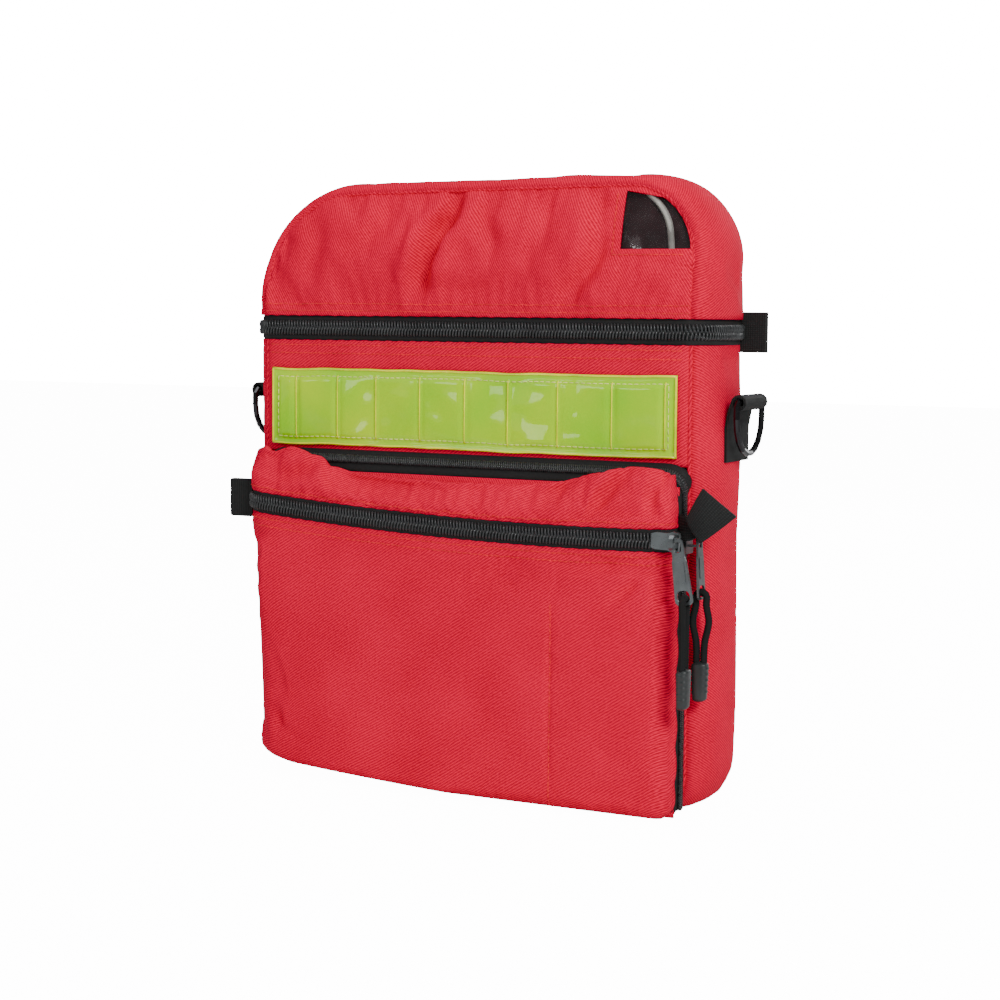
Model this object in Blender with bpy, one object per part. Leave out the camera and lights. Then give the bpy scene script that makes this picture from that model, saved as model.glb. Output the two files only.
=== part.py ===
"""Trauma backpack: a soft rectangular bag with a zipped lid, a clamshell front and a front pocket.

The frame is +Z up, +X to the wearer's right side of the front view and -Y out of the front.
The origin is on the ground, under the middle of the bag's body.
Lengths are written in millimetres and turned into metres where a mesh is made.
"""

import math

import bmesh
import bpy
from mathutils import Vector

MM = 0.001
GAP = 0.4

# Driving dimensions of the bag's body, in millimetres.
SEAM_HALF_WIDTH = 153.0
HALF_DEPTH = 33.5
TOP_SEAM_Z = 388.0
BOTTOM_SEAM_Z = 6.0
SIDE_BULGE = 13.0
TOP_BULGE = 10.0
BOTTOM_BULGE = 6.0
TOP_CORNER = 62.0
BOTTOM_CORNER = 18.0
WALL = 3.0

# The side, top and bottom of the bag bulge between the front and back seams.
# Each pair is a place across the depth and the share of the bulge there.
BULGE_STATIONS = [(-33.5, 0.0), (-30.0, 0.5), (-24.0, 0.85), (-17.0, 1.0),
                  (17.0, 1.0), (24.0, 0.85), (30.0, 0.5), (33.5, 0.0)]

# Panels in front of and behind the side band.
FRONT_FACE_Y = -37.0
BACK_FACE_Y = 37.0
PANEL_Y = 34.0

# Zippers.
LID_ZIPPER_Z = 299.0
TAPE_WIDTH = 8.4
TAPE_THICKNESS = 1.6
COIL_WIDTH = 3.2
COIL_HEIGHT = 1.4
PERIMETER_X = 153.5
PERIMETER_Z = 216.0
PERIMETER_CORNER = 12.0
PERIMETER_SPLIT_Y = -42.0
POCKET_ZIPPER_RIGHT_Z = 174.5
POCKET_ZIPPER_SLOPE = -10.0 / 290.0

# Front pocket and the flap that carries it.
FLAP_Y = -50.0
FLAP_HINGE_Z = 0.0
POCKET_FRONT_Y = -66.0
POCKET_CORNER = 9.0
POCKET_WALL = 1.6
POCKET_HALF_WIDTH = 153.0

# Webbing, rings and pulls.
WEBBING = 25.4
STRIP_HEIGHT = 50.8
STRIP_HALF_LENGTH = 146.4
STRIP_Z = 247.0
RING_X = 176.0
RING_Y = 6.5
RING_Z = 256.0
RING_WIRE = 2.0
RING_HALF_WIDTH = 22.0
RING_WRAP = 3.4
PULL_LENGTH = 37.0
PULL_HEIGHT = 6.0
CORD_HOLE = 36.1
CORD_LENGTH = 39.5
POCKET_SLIDER_X = 152.0
CLAMSHELL_SLIDER_Z = 174.0
CORD_RADIUS = 2.2
CORD_SPREAD = 3.6
GRIP_LENGTH = 25.0

RED = (0.70, 0.008, 0.032, 1.0)
BLACK = (0.010, 0.011, 0.011, 1.0)
GREY = (0.075, 0.085, 0.085, 1.0)


# ---------------------------------------------------------------- helpers

def clear_scene():
    for old in list(bpy.data.objects):
        bpy.data.objects.remove(old)


def make_material(name, colour, roughness, metallic=0.0, alpha=1.0):
    material = bpy.data.materials.new(name)
    material.use_nodes = True
    shader = material.node_tree.nodes["Principled BSDF"]
    shader.inputs["Base Color"].default_value = colour
    shader.inputs["Roughness"].default_value = roughness
    shader.inputs["Metallic"].default_value = metallic
    shader.inputs["Alpha"].default_value = alpha
    return material


def joint_empty(name, place, parent=None):
    """An empty on a joint's axis, which carries the pieces that move with it."""
    empty = bpy.data.objects.new(name, None)
    bpy.context.scene.collection.objects.link(empty)
    pivot = Vector(place) * MM
    empty["pivot"] = pivot
    empty.parent = parent
    empty.location = pivot - (Vector(parent["pivot"]) if parent else Vector())
    return empty


def add_piece(name, bm, carrier, colour, roughness, metallic=0.0, smooth=True, alpha=1.0):
    """Turns a bmesh in millimetres into an object that hangs on its carrier empty."""
    bmesh.ops.recalc_face_normals(bm, faces=bm.faces)
    pivot = Vector(carrier["pivot"])
    for vert in bm.verts:
        vert.co = vert.co * MM - pivot
    mesh = bpy.data.meshes.new(name)
    bm.to_mesh(mesh)
    bm.free()
    if smooth:
        mesh.shade_smooth()
        mesh.set_sharp_from_angle(angle=math.radians(35))
    piece = bpy.data.objects.new(name, mesh)
    piece.data.materials.append(make_material(name + "_look", colour, roughness, metallic, alpha))
    bpy.context.scene.collection.objects.link(piece)
    piece.parent = carrier
    return piece


def loft(loops, ring=False):
    """Bridges closed loops of equal length, and caps the two ends unless the loft is a ring."""
    bm = bmesh.new()
    rows = [[bm.verts.new(point) for point in loop] for loop in loops]
    pairs = list(zip(rows, rows[1:]))
    if ring:
        pairs.append((rows[-1], rows[0]))
    for low, high in pairs:
        for i in range(len(low)):
            j = (i + 1) % len(low)
            bm.faces.new((low[i], low[j], high[j], high[i]))
    if not ring:
        bm.faces.new(rows[0])
        bm.faces.new(list(reversed(rows[-1])))
    return bm


def arc(cx, cz, radius, start, end, steps):
    """Points along a circular arc, with angles in degrees."""
    points = []
    for i in range(steps + 1):
        angle = math.radians(start + (end - start) * i / steps)
        points.append((cx + radius * math.cos(angle), cz + radius * math.sin(angle)))
    return points


def with_normals(points):
    """Pairs each point of an open path with the unit normal on the path's left side."""
    result = []
    for i, point in enumerate(points):
        before = points[max(i - 1, 0)]
        after = points[min(i + 1, len(points) - 1)]
        run = (after[0] - before[0], after[1] - before[1])
        length = math.hypot(*run)
        result.append((point, (-run[1] / length, run[0] / length)))
    return result


def plate(outline, y_low, y_high):
    """A flat panel: an outline in X and Z, extruded along Y."""
    return loft([[(x, y, z) for x, z in outline] for y in (y_low, y_high)])


def box(low, high):
    (x0, y0, z0), (x1, y1, z1) = low, high
    return plate([(x0, z0), (x1, z0), (x1, z1), (x0, z1)], y0, y1)


def rounded_rectangle(x0, x1, z0, z1, radius, steps=4):
    return (arc(x1 - radius, z0 + radius, radius, -90, 0, steps)
            + arc(x1 - radius, z1 - radius, radius, 0, 90, steps)
            + arc(x0 + radius, z1 - radius, radius, 90, 180, steps)
            + arc(x0 + radius, z0 + radius, radius, 180, 270, steps))


def tube(path, radius, flat_normal, sides=8, ring=False):
    """A round rod along a path that lies in one plane, whose normal is given."""
    normal = Vector(flat_normal).normalized()
    count = len(path)
    loops = []
    for i, point in enumerate(path):
        before = path[(i - 1) % count] if ring else path[max(i - 1, 0)]
        after = path[(i + 1) % count] if ring else path[min(i + 1, count - 1)]
        side = (Vector(after) - Vector(before)).cross(normal).normalized()
        loops.append([Vector(point)
                      + radius * (math.cos(2 * math.pi * k / sides) * side
                                  + math.sin(2 * math.pi * k / sides) * normal)
                      for k in range(sides)])
    return loft(loops, ring)


def ribbon(path, width_direction, half_widths, thickness):
    """Flat webbing along a path of points, as wide as given and grown to the path's left side."""
    wide = Vector(width_direction).normalized()
    loops = []
    for i, point in enumerate(path):
        run = Vector(path[min(i + 1, len(path) - 1)]) - Vector(path[max(i - 1, 0)])
        out = wide.cross(run).normalized() * thickness
        side = wide * half_widths[i]
        centre = Vector(point)
        loops.append([centre - side, centre + side, centre + side + out, centre - side + out])
    return loft(loops)


def cut(piece, cutter_bm, name, operation="DIFFERENCE"):
    """Cuts a piece, or joins to it, with a hidden guide solid given in millimetres."""
    bmesh.ops.recalc_face_normals(cutter_bm, faces=cutter_bm.faces)
    pivot = Vector(piece.parent["pivot"])
    for vert in cutter_bm.verts:
        vert.co = vert.co * MM - pivot
    mesh = bpy.data.meshes.new(name)
    cutter_bm.to_mesh(mesh)
    cutter_bm.free()
    guide = bpy.data.objects.new(name, mesh)
    bpy.context.scene.collection.objects.link(guide)
    guide.parent = piece.parent
    guide.hide_render = True
    guide.display_type = "WIRE"
    modifier = piece.modifiers.new(name, "BOOLEAN")
    modifier.operation = operation
    modifier.object = guide


# ---------------------------------------------------------------- outlines

def lower_seam():
    """The front seam of the body below the lid zipper, from the left side round the bottom."""
    w, z0, r = SEAM_HALF_WIDTH, BOTTOM_SEAM_Z, BOTTOM_CORNER
    top = LID_ZIPPER_Z - TAPE_WIDTH - 2 * GAP
    return ([(-w, top)] + arc(-w + r, z0 + r, r, 180, 270, 6)
            + arc(w - r, z0 + r, r, 270, 360, 6) + [(w, top)])


def upper_seam():
    """The front seam of the lid above its zipper, from the right side over the top."""
    w, z1, r = SEAM_HALF_WIDTH, TOP_SEAM_Z, TOP_CORNER
    low = LID_ZIPPER_Z + TAPE_WIDTH + 2 * GAP
    return ([(w, low)] + arc(w - r, z1 - r, r, 0, 90, 10)
            + arc(-w + r, z1 - r, r, 90, 180, 10) + [(-w, low)])


def side_band(seam):
    """A band that bulges outward between the front and back seams, swept along a seam."""
    loops = []
    for (x, z), (nx, nz) in with_normals(seam):
        nx, nz = -nx, -nz
        bulge = SIDE_BULGE * nx * nx + (TOP_BULGE if nz > 0 else BOTTOM_BULGE) * nz * nz
        outer = [(x + nx * bulge * s, y, z + nz * bulge * s) for y, s in BULGE_STATIONS]
        inner = [(x + nx * (bulge * s - WALL), y, z + nz * (bulge * s - WALL))
                 for y, s in reversed(BULGE_STATIONS)]
        loops.append(outer + inner)
    return loft(loops)


def lid_zipper_path():
    """The line that the lid zipper follows in plan: left side, front, right side."""
    right = [(SEAM_HALF_WIDTH + SIDE_BULGE * share, y) for y, share in BULGE_STATIONS[:-1]]
    corner = arc(SEAM_HALF_WIDTH - 3.5, -33.5, 3.5, -90, -30, 3)
    half = corner + right
    return [(-x, y) for x, y in reversed(half)] + half


def tape_section(edge, middle, coil):
    """Section of half a zipper: its tape and the ridge of its coil, as (outward, across)."""
    side = math.copysign(1.0, middle - edge)
    ridge = middle - side * coil
    return [(-TAPE_THICKNESS, edge), (0.0, edge), (0.0, ridge),
            (COIL_HEIGHT, ridge), (COIL_HEIGHT, middle), (-TAPE_THICKNESS, middle)]


def sweep_in_plan(path, section):
    """Sweeps a section (outward, height) along a path in X and Y that runs left to right."""
    loops = []
    for (x, y), (nx, ny) in with_normals(path):
        loops.append([(x - nx * out, y - ny * out, height) for out, height in section])
    return loft(loops)


def perimeter_path(inset=0.0, bottom=8.0):
    """The line of the clamshell zipper in X and Z: up the right side, across and down the left."""
    w, z1, r = PERIMETER_X - inset, PERIMETER_Z - inset, PERIMETER_CORNER - inset
    return ([(w, bottom)] + arc(w - r, z1 - r, r, 0, 90, 4)
            + arc(-w + r, z1 - r, r, 90, 180, 4) + [(-w, bottom)])


def sweep_in_elevation(path, section):
    """Sweeps a section (outward, depth) along a path in X and Z that runs right to left."""
    loops = []
    for (x, z), (nx, nz) in with_normals(path):
        loops.append([(x - nx * out, depth, z - nz * out) for out, depth in section])
    return loft(loops)


def pocket_plan(front_y, inset=0.0):
    """The pocket's front and sides in plan, left to right, at a given front depth."""
    w = POCKET_HALF_WIDTH - inset
    r = min(POCKET_CORNER, (FLAP_Y - GAP - front_y) * 0.8)
    left = arc(-w + r, front_y + r, r, 180, 270, 5)
    right = arc(w - r, front_y + r, r, 270, 360, 5)
    back = FLAP_Y - GAP
    return [(-w, back)] + left + right + [(w, back)]


def pocket_zipper_z(x):
    """Height of the pocket zipper's middle line at a place across the front."""
    return POCKET_ZIPPER_RIGHT_Z + POCKET_ZIPPER_SLOPE * (x - POCKET_HALF_WIDTH)


# ---------------------------------------------------------------- main body

def build_main_body(root):
    add_piece("main_gusset", side_band(lower_seam()), root, RED, 0.75)
    low = BOTTOM_SEAM_Z + 3.0
    half = SEAM_HALF_WIDTH - 0.3
    top = LID_ZIPPER_Z - 0.5
    back = (arc(-half + 15, low + 15, 15, 180, 270, 4)
            + arc(half - 15, low + 15, 15, 270, 360, 4) + [(half, top), (-half, top)])
    add_piece("back_panel", plate(back, PANEL_Y, BACK_FACE_Y), root, RED, 0.75)
    yoke_low = PERIMETER_Z + COIL_HEIGHT + 2 * GAP
    yoke_high = LID_ZIPPER_Z - TAPE_WIDTH - 3 * GAP
    add_piece("front_yoke", box((-half, FRONT_FACE_Y, yoke_low), (half, -PANEL_Y, yoke_high)),
              root, RED, 0.75)
    strip = rounded_rectangle(-STRIP_HALF_LENGTH, STRIP_HALF_LENGTH, STRIP_Z - STRIP_HEIGHT / 2,
                              STRIP_Z + STRIP_HEIGHT / 2, 2.0, 2)
    strip_back = FRONT_FACE_Y - GAP
    add_piece("reflective_strip", plate(strip, strip_back - 0.8, strip_back), root,
              (0.55, 0.85, 0.0, 1.0), 0.2)
    add_piece("flap_hinge_strip", box((-140, FLAP_Y + GAP, 0.0), (140, -PANEL_Y - GAP, 1.8)),
              root, RED, 0.75)


def build_inside(root):
    board = [(-x, y) for x, y in ((138, 30), (-138, 30), (-138, -30), (138, -30))]
    add_piece("bottom_board", loft([[(x, y, z) for x, y in board] for z in (6.6, 8.8)]),
              root, GREY, 0.6, smooth=False)
    sheet = rounded_rectangle(-140, 140, 14, 284, 20)
    add_piece("back_frame_sheet", plate(sheet, 30.8, 33.0), root, GREY, 0.5)
    divider = rounded_rectangle(-136, 136, 16, 270, 14)
    add_piece("inner_divider", plate(divider, 24.0, 27.0), root, RED, 0.8)
    for row_z, name in ((110.0, "lower"), (200.0, "upper")):
        path = []
        for column in range(-2, 3):
            x = column * 50.0
            path += [(x - 21, 22.2, row_z), (x - 15, 17.0, row_z), (x, 14.0, row_z),
                     (x + 15, 17.0, row_z), (x + 21, 22.2, row_z)]
        elastic = ribbon(path, (0, 0, 1), [15.0] * len(path), 1.4)
        add_piece("elastic_loops_" + name, elastic, root, BLACK, 0.85)


def build_lid(lid):
    add_piece("lid_gusset", side_band(upper_seam()), lid, RED, 0.75)
    w, z1, r = SEAM_HALF_WIDTH - 0.3, TOP_SEAM_Z - 0.3, TOP_CORNER
    crown = arc(w - r, z1 - r, r, 0, 90, 10) + arc(-w + r, z1 - r, r, 90, 180, 10)
    front_low = LID_ZIPPER_Z + TAPE_WIDTH + 3 * GAP
    front = [(-w, front_low), (w, front_low)] + crown
    panel = add_piece("lid_front_panel", plate(front, FRONT_FACE_Y, -PANEL_Y), lid, RED, 0.75)
    cut(panel, plate(window_outline(0.0), FRONT_FACE_Y - 2, -PANEL_Y + 2), "window_opening")
    back = [(-w, LID_ZIPPER_Z + 0.5), (w, LID_ZIPPER_Z + 0.5)] + crown
    add_piece("lid_back_panel", plate(back, PANEL_Y, BACK_FACE_Y), lid, RED, 0.75)


def window_outline(inset):
    """The clear window in the lid's upper right corner, whose outer side leans with the seam."""
    return [(104.5 + inset, 349.5 + inset), (146.5 - inset, 349.5 + inset),
            (145.0 - inset, 361.0), (136.5 - inset, 373.0 - inset), (126.0 - inset, 378.5 - inset),
            (104.5 + inset, 382.0 - inset)]


def build_window(lid):
    add_piece("window_pane", plate(window_outline(GAP), -35.6, -35.0), lid,
              (0.8, 0.85, 0.85, 1.0), 0.08, alpha=0.25)
    sleeve = [(98, 341), (143, 341), (141, 358), (131, 372), (118, 380), (98, 382)]
    add_piece("card_sleeve", plate(sleeve, -32.2, -31.4), lid, BLACK, 0.6)
    card = rounded_rectangle(106, 128, 345, 368, 2.0, 2)
    add_piece("blank_card", plate(card, -33.4, -32.8), lid, (0.75, 0.76, 0.78, 1.0), 0.5)


def build_lid_zipper(root, lid):
    path = lid_zipper_path()
    low = LID_ZIPPER_Z - TAPE_WIDTH - GAP
    high = LID_ZIPPER_Z + TAPE_WIDTH + GAP
    lower = tape_section(low, LID_ZIPPER_Z - 0.3, COIL_WIDTH)
    upper = tape_section(high, LID_ZIPPER_Z + 0.3, COIL_WIDTH)
    add_piece("lid_zipper_lower_half", sweep_in_plan(path, lower), root, BLACK, 0.6)
    add_piece("lid_zipper_upper_half", sweep_in_plan(path, upper), lid, BLACK, 0.6)
    for side, name in ((-1, "left"), (1, "right")):
        x0 = side * (SEAM_HALF_WIDTH + SIDE_BULGE + COIL_HEIGHT + GAP)
        x1 = side * (SEAM_HALF_WIDTH + SIDE_BULGE + 13.5)
        tab = box((min(x0, x1), 24.5, LID_ZIPPER_Z - WEBBING / 2),
                  (max(x0, x1), 27.5, LID_ZIPPER_Z + WEBBING / 2))
        add_piece("lid_zipper_tab_" + name, tab, root, BLACK, 0.8, smooth=False)


def build_handle(handle):
    """Webbing sewn into the lid's rear top seam at both ends, hanging against the back."""
    centre = [(-106, 39.0, 391), (-98, 39.0, 378), (-84, 39.0, 366), (-60, 39.0, 357),
              (-30, 39.0, 352), (0, 39.0, 350.5)]
    path = centre + [(-x, y, z) for x, y, z in reversed(centre[:-1])]
    loops = []
    for i, point in enumerate(path):
        run = Vector(path[min(i + 1, len(path) - 1)]) - Vector(path[max(i - 1, 0)])
        across = run.cross(Vector((0, 1, 0))).normalized() * (WEBBING / 2 - 1.5)
        deep = Vector((0, 3.0, 0))
        start = Vector(point)
        loops.append([start - across, start + across, start + across + deep,
                      start - across + deep])
    add_piece("grab_handle", loft(loops), handle, BLACK, 0.8)


# ---------------------------------------------------------------- clamshell and pocket

def build_perimeter_zipper(root, flap):
    path = perimeter_path()
    inner = tape_section(-PANEL_Y - GAP, PERIMETER_SPLIT_Y + 0.3, COIL_WIDTH)
    outer = tape_section(FLAP_Y + GAP, PERIMETER_SPLIT_Y - 0.3, COIL_WIDTH)
    add_piece("clamshell_zipper_body_half", sweep_in_elevation(path, inner), root, BLACK, 0.6)
    add_piece("clamshell_zipper_flap_half", sweep_in_elevation(path, outer), flap, BLACK, 0.6)


def build_flap(flap):
    inset = TAPE_THICKNESS + GAP
    path = perimeter_path(inset, bottom=2.6)
    add_piece("flap_panel", plate(path, FLAP_Y + GAP, FLAP_Y + GAP + 2.0), flap, RED, 0.75)


def pocket_shell(stations):
    """Sweeps the pocket's plan through (height function, front depth) stations as a thin wall."""
    loops = []
    outer_rows = []
    inner_rows = []
    for height, front_y in stations:
        plan = pocket_plan(front_y)
        inner_plan = pocket_plan(front_y + POCKET_WALL, POCKET_WALL)
        outer_rows.append([(x, y, height(x)) for x, y in plan])
        inner_rows.append([(x, y, height(x)) for x, y in inner_plan])
    for k in range(len(outer_rows[0])):
        outer = [row[k] for row in outer_rows]
        inner = [row[k] for row in reversed(inner_rows)]
        loops.append(outer + inner)
    return loft(loops)


def build_pocket(flap):
    half_gap = TAPE_WIDTH + GAP

    def below_zipper(x):
        return pocket_zipper_z(x) - half_gap

    def above_zipper(x):
        return pocket_zipper_z(x) + half_gap

    def zipper_low_edge(x):
        return pocket_zipper_z(x) - TAPE_WIDTH

    def zipper_high_edge(x):
        return pocket_zipper_z(x) + TAPE_WIDTH

    def just_below(x):
        return pocket_zipper_z(x) - 0.3

    def just_above(x):
        return pocket_zipper_z(x) + 0.3

    bottom_wall = 2.0 + GAP
    lower = pocket_shell([(lambda x: bottom_wall, POCKET_FRONT_Y), (below_zipper, POCKET_FRONT_Y)])
    add_piece("pocket_lower_front", lower, flap, RED, 0.75)
    add_piece("pocket_zipper_lower_half",
              pocket_shell([(zipper_low_edge, POCKET_FRONT_Y), (just_below, POCKET_FRONT_Y)]),
              flap, BLACK, 0.6)
    add_piece("pocket_zipper_upper_half",
              pocket_shell([(just_above, POCKET_FRONT_Y), (zipper_high_edge, POCKET_FRONT_Y)]),
              flap, BLACK, 0.6)
    top_z = PERIMETER_Z - 1.0
    upper = pocket_shell([(above_zipper, POCKET_FRONT_Y), (lambda x: 202.0, POCKET_FRONT_Y + 5.0),
                          (lambda x: top_z - 3.0, POCKET_FRONT_Y + 10.5)])
    add_piece("pocket_upper_front", upper, flap, RED, 0.75)
    lid_plan = pocket_plan(POCKET_FRONT_Y + 10.8, 0.4)
    add_piece("pocket_top", loft([[(x, y, z) for x, y in lid_plan]
                                  for z in (top_z - 3.0 + GAP, top_z - 1.0 + GAP)]),
              flap, RED, 0.75)
    floor_plan = pocket_plan(POCKET_FRONT_Y)
    add_piece("pocket_bottom", loft([[(x, y, z) for x, y in floor_plan] for z in (0.0, 2.0)]),
              flap, RED, 0.75)
    add_piece("pocket_divider", box((74.0, POCKET_FRONT_Y + POCKET_WALL + GAP, 4.0),
                                    (75.4, FLAP_Y - GAP, 132.0)), flap, RED, 0.75, smooth=False)


def build_pocket_tabs(flap):
    y0 = FLAP_Y - GAP - 3.0
    y1 = FLAP_Y - GAP
    x0 = POCKET_HALF_WIDTH + GAP
    left_z = pocket_zipper_z(-POCKET_HALF_WIDTH)
    left = rounded_rectangle(-x0 - 17.5, -x0, left_z - WEBBING / 2, left_z + WEBBING / 2, 1.5, 2)
    add_piece("pocket_zipper_tab_left", plate(left, y0, y1), flap, BLACK, 0.8)
    right = [(x0, 179.0), (168.5, 173.6), (180.0, 180.0), (190.6, 190.0), (181.0, 198.0),
             (170.0, 206.0), (x0, 192.0)]
    add_piece("pocket_zipper_tab_right", plate(right, y0, y1), flap, BLACK, 0.8)


# ---------------------------------------------------------------- sliders, pulls and cords

class Slider:
    """Directions of a zipper slider: along its run, across the tape and out of the tape."""

    def __init__(self, centre, run, out):
        self.centre = Vector(centre)
        self.run = Vector(run).normalized()
        self.out = Vector(out).normalized()
        self.across = self.out.cross(self.run)

    def at(self, along, across, height):
        return self.centre + self.run * along + self.across * across + self.out * height


def build_slider(name, slider, carrier, bridge_across, bridge_at=0.0):
    """A shield-shaped slider plate with a raised bridge for its pull."""
    half = [(-9.0, 4.2), (-6.0, 5.2), (2.0, 5.2), (5.0, 6.3), (9.0, 5.6)]
    shield = half + [(a, -c) for a, c in reversed(half)]
    plate_bm = loft([[slider.at(a, c, h) for a, c in shield] for h in (0.0, 2.0)])
    piece = add_piece(name, plate_bm, carrier, GREY, 0.35, 0.9)
    top = PULL_HEIGHT + 2.0
    arch = [(-4.0, 1.5), (-4.0, top - 1.4), (-2.6, top), (2.6, top), (4.0, top - 1.4), (4.0, 1.5)]
    loops = []
    for i, (s, h) in enumerate(arch):
        before, after = arch[max(i - 1, 0)], arch[min(i + 1, len(arch) - 1)]
        run = Vector((after[0] - before[0], after[1] - before[1])).normalized()
        normal = Vector((-run[1], run[0])) * 0.7
        corners = []
        for grow, side in ((-1, -1.4), (1, -1.4), (1, 1.4), (-1, 1.4)):
            place = s + normal[0] * grow
            height = h + normal[1] * grow
            along, across = (side, place) if bridge_across else (place, side)
            corners.append(slider.at(bridge_at + along, across, height))
        loops.append(corners)
    cut(piece, loft(loops), name + "_bridge", "UNION")
    return piece


def build_pull(name, pivot, carrier, out, down):
    """A flat pull that hangs from a slider's bridge, with an eye above and a cord hole below."""
    pivot, out, down = Vector(pivot), Vector(out), Vector(down)
    wide = down.cross(out)
    outline = [(-3.6, -1.1), (3.6, -1.1), (4.2, 8.0), (5.7, 30.0), (5.7, PULL_LENGTH - 4),
               (3.6, PULL_LENGTH), (-3.6, PULL_LENGTH), (-5.7, PULL_LENGTH - 4), (-5.7, 30.0),
               (-4.2, 8.0)]
    body = loft([[pivot + wide * w + down * d + out * h for w, d in outline]
                 for h in (-0.8, 0.8)])
    piece = add_piece(name, body, carrier, GREY, 0.35, 0.9)
    holes = [("eye", -2.2, 2.2, 1.0, 7.0), ("cord_hole", -3.8, 3.8, 28.0, PULL_LENGTH - 1.8)]
    for hole, w0, w1, d0, d1 in holes:
        corners = [(w0, d0), (w1, d0), (w1, d1), (w0, d1)]
        tool = loft([[pivot + wide * w + down * d + out * h for w, d in corners]
                     for h in (-3.0, 3.0)])
        cut(piece, tool, name + "_" + hole)


def build_cord(name, hang, carrier, out, down):
    """A loop of cord through the pull's hole, with a moulded grip on its two ends."""
    hang, out, down = Vector(hang), Vector(out), Vector(down)
    wide = down.cross(out)
    length = CORD_LENGTH
    path = [hang + out * CORD_SPREAD + down * length]
    for degrees in range(0, 181, 30):
        angle = math.radians(degrees)
        path.append(hang + (out * math.cos(angle) - down * math.sin(angle)) * CORD_SPREAD)
    path.append(hang - out * CORD_SPREAD + down * length)
    add_piece(name + "_cord", tube(path, CORD_RADIUS, wide, 8), carrier, BLACK, 0.9)
    shape = [(0.0, 5.2, 4.4), (3.0, 5.6, 4.9), (GRIP_LENGTH - 5, 5.4, 4.6), (GRIP_LENGTH, 4.4, 3.4)]
    loops = []
    for d, half_out, half_wide in shape:
        centre = hang + down * (length + GAP + d)
        loops.append([centre + out * (half_out * math.cos(2 * math.pi * k / 10))
                      + wide * (half_wide * math.sin(2 * math.pi * k / 10)) for k in range(10)])
    add_piece(name + "_grip", loft(loops), carrier, GREY, 0.6)


def hanging(name, pivot, carrier, out, tab_down, cord_down):
    """The pull, cord and grip that hang from a slider, each swinging on the one above."""
    pull = joint_empty(name + "_pull_swing", pivot, carrier)
    build_pull(name + "_pull_tab", pivot, pull, out, tab_down)
    if cord_down:
        hang = Vector(pivot) + Vector(tab_down) * CORD_HOLE
        cord = joint_empty(name + "_cord_swing", hang, pull)
        build_cord(name + "_pull", hang, cord, out, cord_down)


def leaning(degrees):
    """Straight down, leaned towards +X."""
    return (math.sin(math.radians(degrees)), 0.0, -math.cos(math.radians(degrees)))


def build_pocket_slider(flap):
    centre = Vector((POCKET_SLIDER_X, POCKET_FRONT_Y - GAP, pocket_zipper_z(POCKET_SLIDER_X)))
    slider = Slider(centre, (1, 0, POCKET_ZIPPER_SLOPE), (0, -1, 0))
    carrier = joint_empty("pocket_slider_travel", centre, flap)
    build_slider("pocket_slider", slider, carrier, bridge_across=True, bridge_at=6.5)
    pivot = slider.at(6.5, 0.0, PULL_HEIGHT)
    hanging("pocket", pivot, carrier, (0, -1, 0), leaning(8.5), leaning(5.5))


def build_clamshell_slider(root):
    centre = Vector((PERIMETER_X + COIL_HEIGHT + GAP, PERIMETER_SPLIT_Y, CLAMSHELL_SLIDER_Z))
    slider = Slider(centre, (0, 0, -1), (1, 0, 0))
    carrier = joint_empty("clamshell_slider_travel", centre, root)
    build_slider("clamshell_slider", slider, carrier, bridge_across=False)
    pivot = slider.at(0.0, 0.0, PULL_HEIGHT)
    out = (math.cos(math.radians(3.0)), 0.0, math.sin(math.radians(3.0)))
    hanging("clamshell", pivot, carrier, out, leaning(3.0), leaning(3.0))


def build_lid_slider(root):
    centre = Vector((-(SEAM_HALF_WIDTH + SIDE_BULGE + COIL_HEIGHT + GAP), 8.0, LID_ZIPPER_Z))
    slider = Slider(centre, (0, 1, 0), (-1, 0, 0))
    carrier = joint_empty("lid_slider_travel", centre, root)
    build_slider("lid_slider", slider, carrier, bridge_across=True)
    pivot = slider.at(0.0, 0.0, PULL_HEIGHT)
    hanging("lid", pivot, carrier, (-1, 0, 0), leaning(0.0), None)


# ---------------------------------------------------------------- rings and straps

def build_ring(side, name, root):
    """A webbing loop sewn to the side, and the D-ring that swings in it."""
    bag = SEAM_HALF_WIDTH + SIDE_BULGE + GAP
    wrap = list(reversed(arc(RING_X, RING_Z, RING_WRAP, -120, 150, 9)))
    rear = [(bag + 2.4, 219.0), (bag + 2.4, 240.0), (bag + 4.4, 251.0)]
    path = [(side * x, RING_Y, z) for x, z in rear + wrap]
    widths = [19.0] * len(path)
    add_piece("ring_loop_" + name, ribbon(path, (0, -side, 0), widths, 1.6), root, BLACK, 0.8)
    carrier = joint_empty("ring_swing_" + name, (side * RING_X, RING_Y, RING_Z), root)
    half = RING_HALF_WIDTH
    bow = [(RING_Y + half * math.cos(math.radians(a)), RING_Z - 10.0 + half * math.sin(math.radians(a)))
           for a in range(0, -181, -20)]
    loop = ([(RING_Y - half + 2.5, RING_Z), (RING_Y - 8, RING_Z), (RING_Y + 8, RING_Z),
             (RING_Y + half - 2.5, RING_Z), (RING_Y + half, RING_Z - 2.5)] + bow
            + [(RING_Y - half, RING_Z - 2.5)])
    path = [(side * RING_X, y, z) for y, z in loop]
    add_piece("d_ring_" + name, tube(path, RING_WIRE, (side, 0, 0), 8, ring=True), carrier,
              (0.03, 0.03, 0.035, 1.0), 0.25, 1.0)


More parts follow.
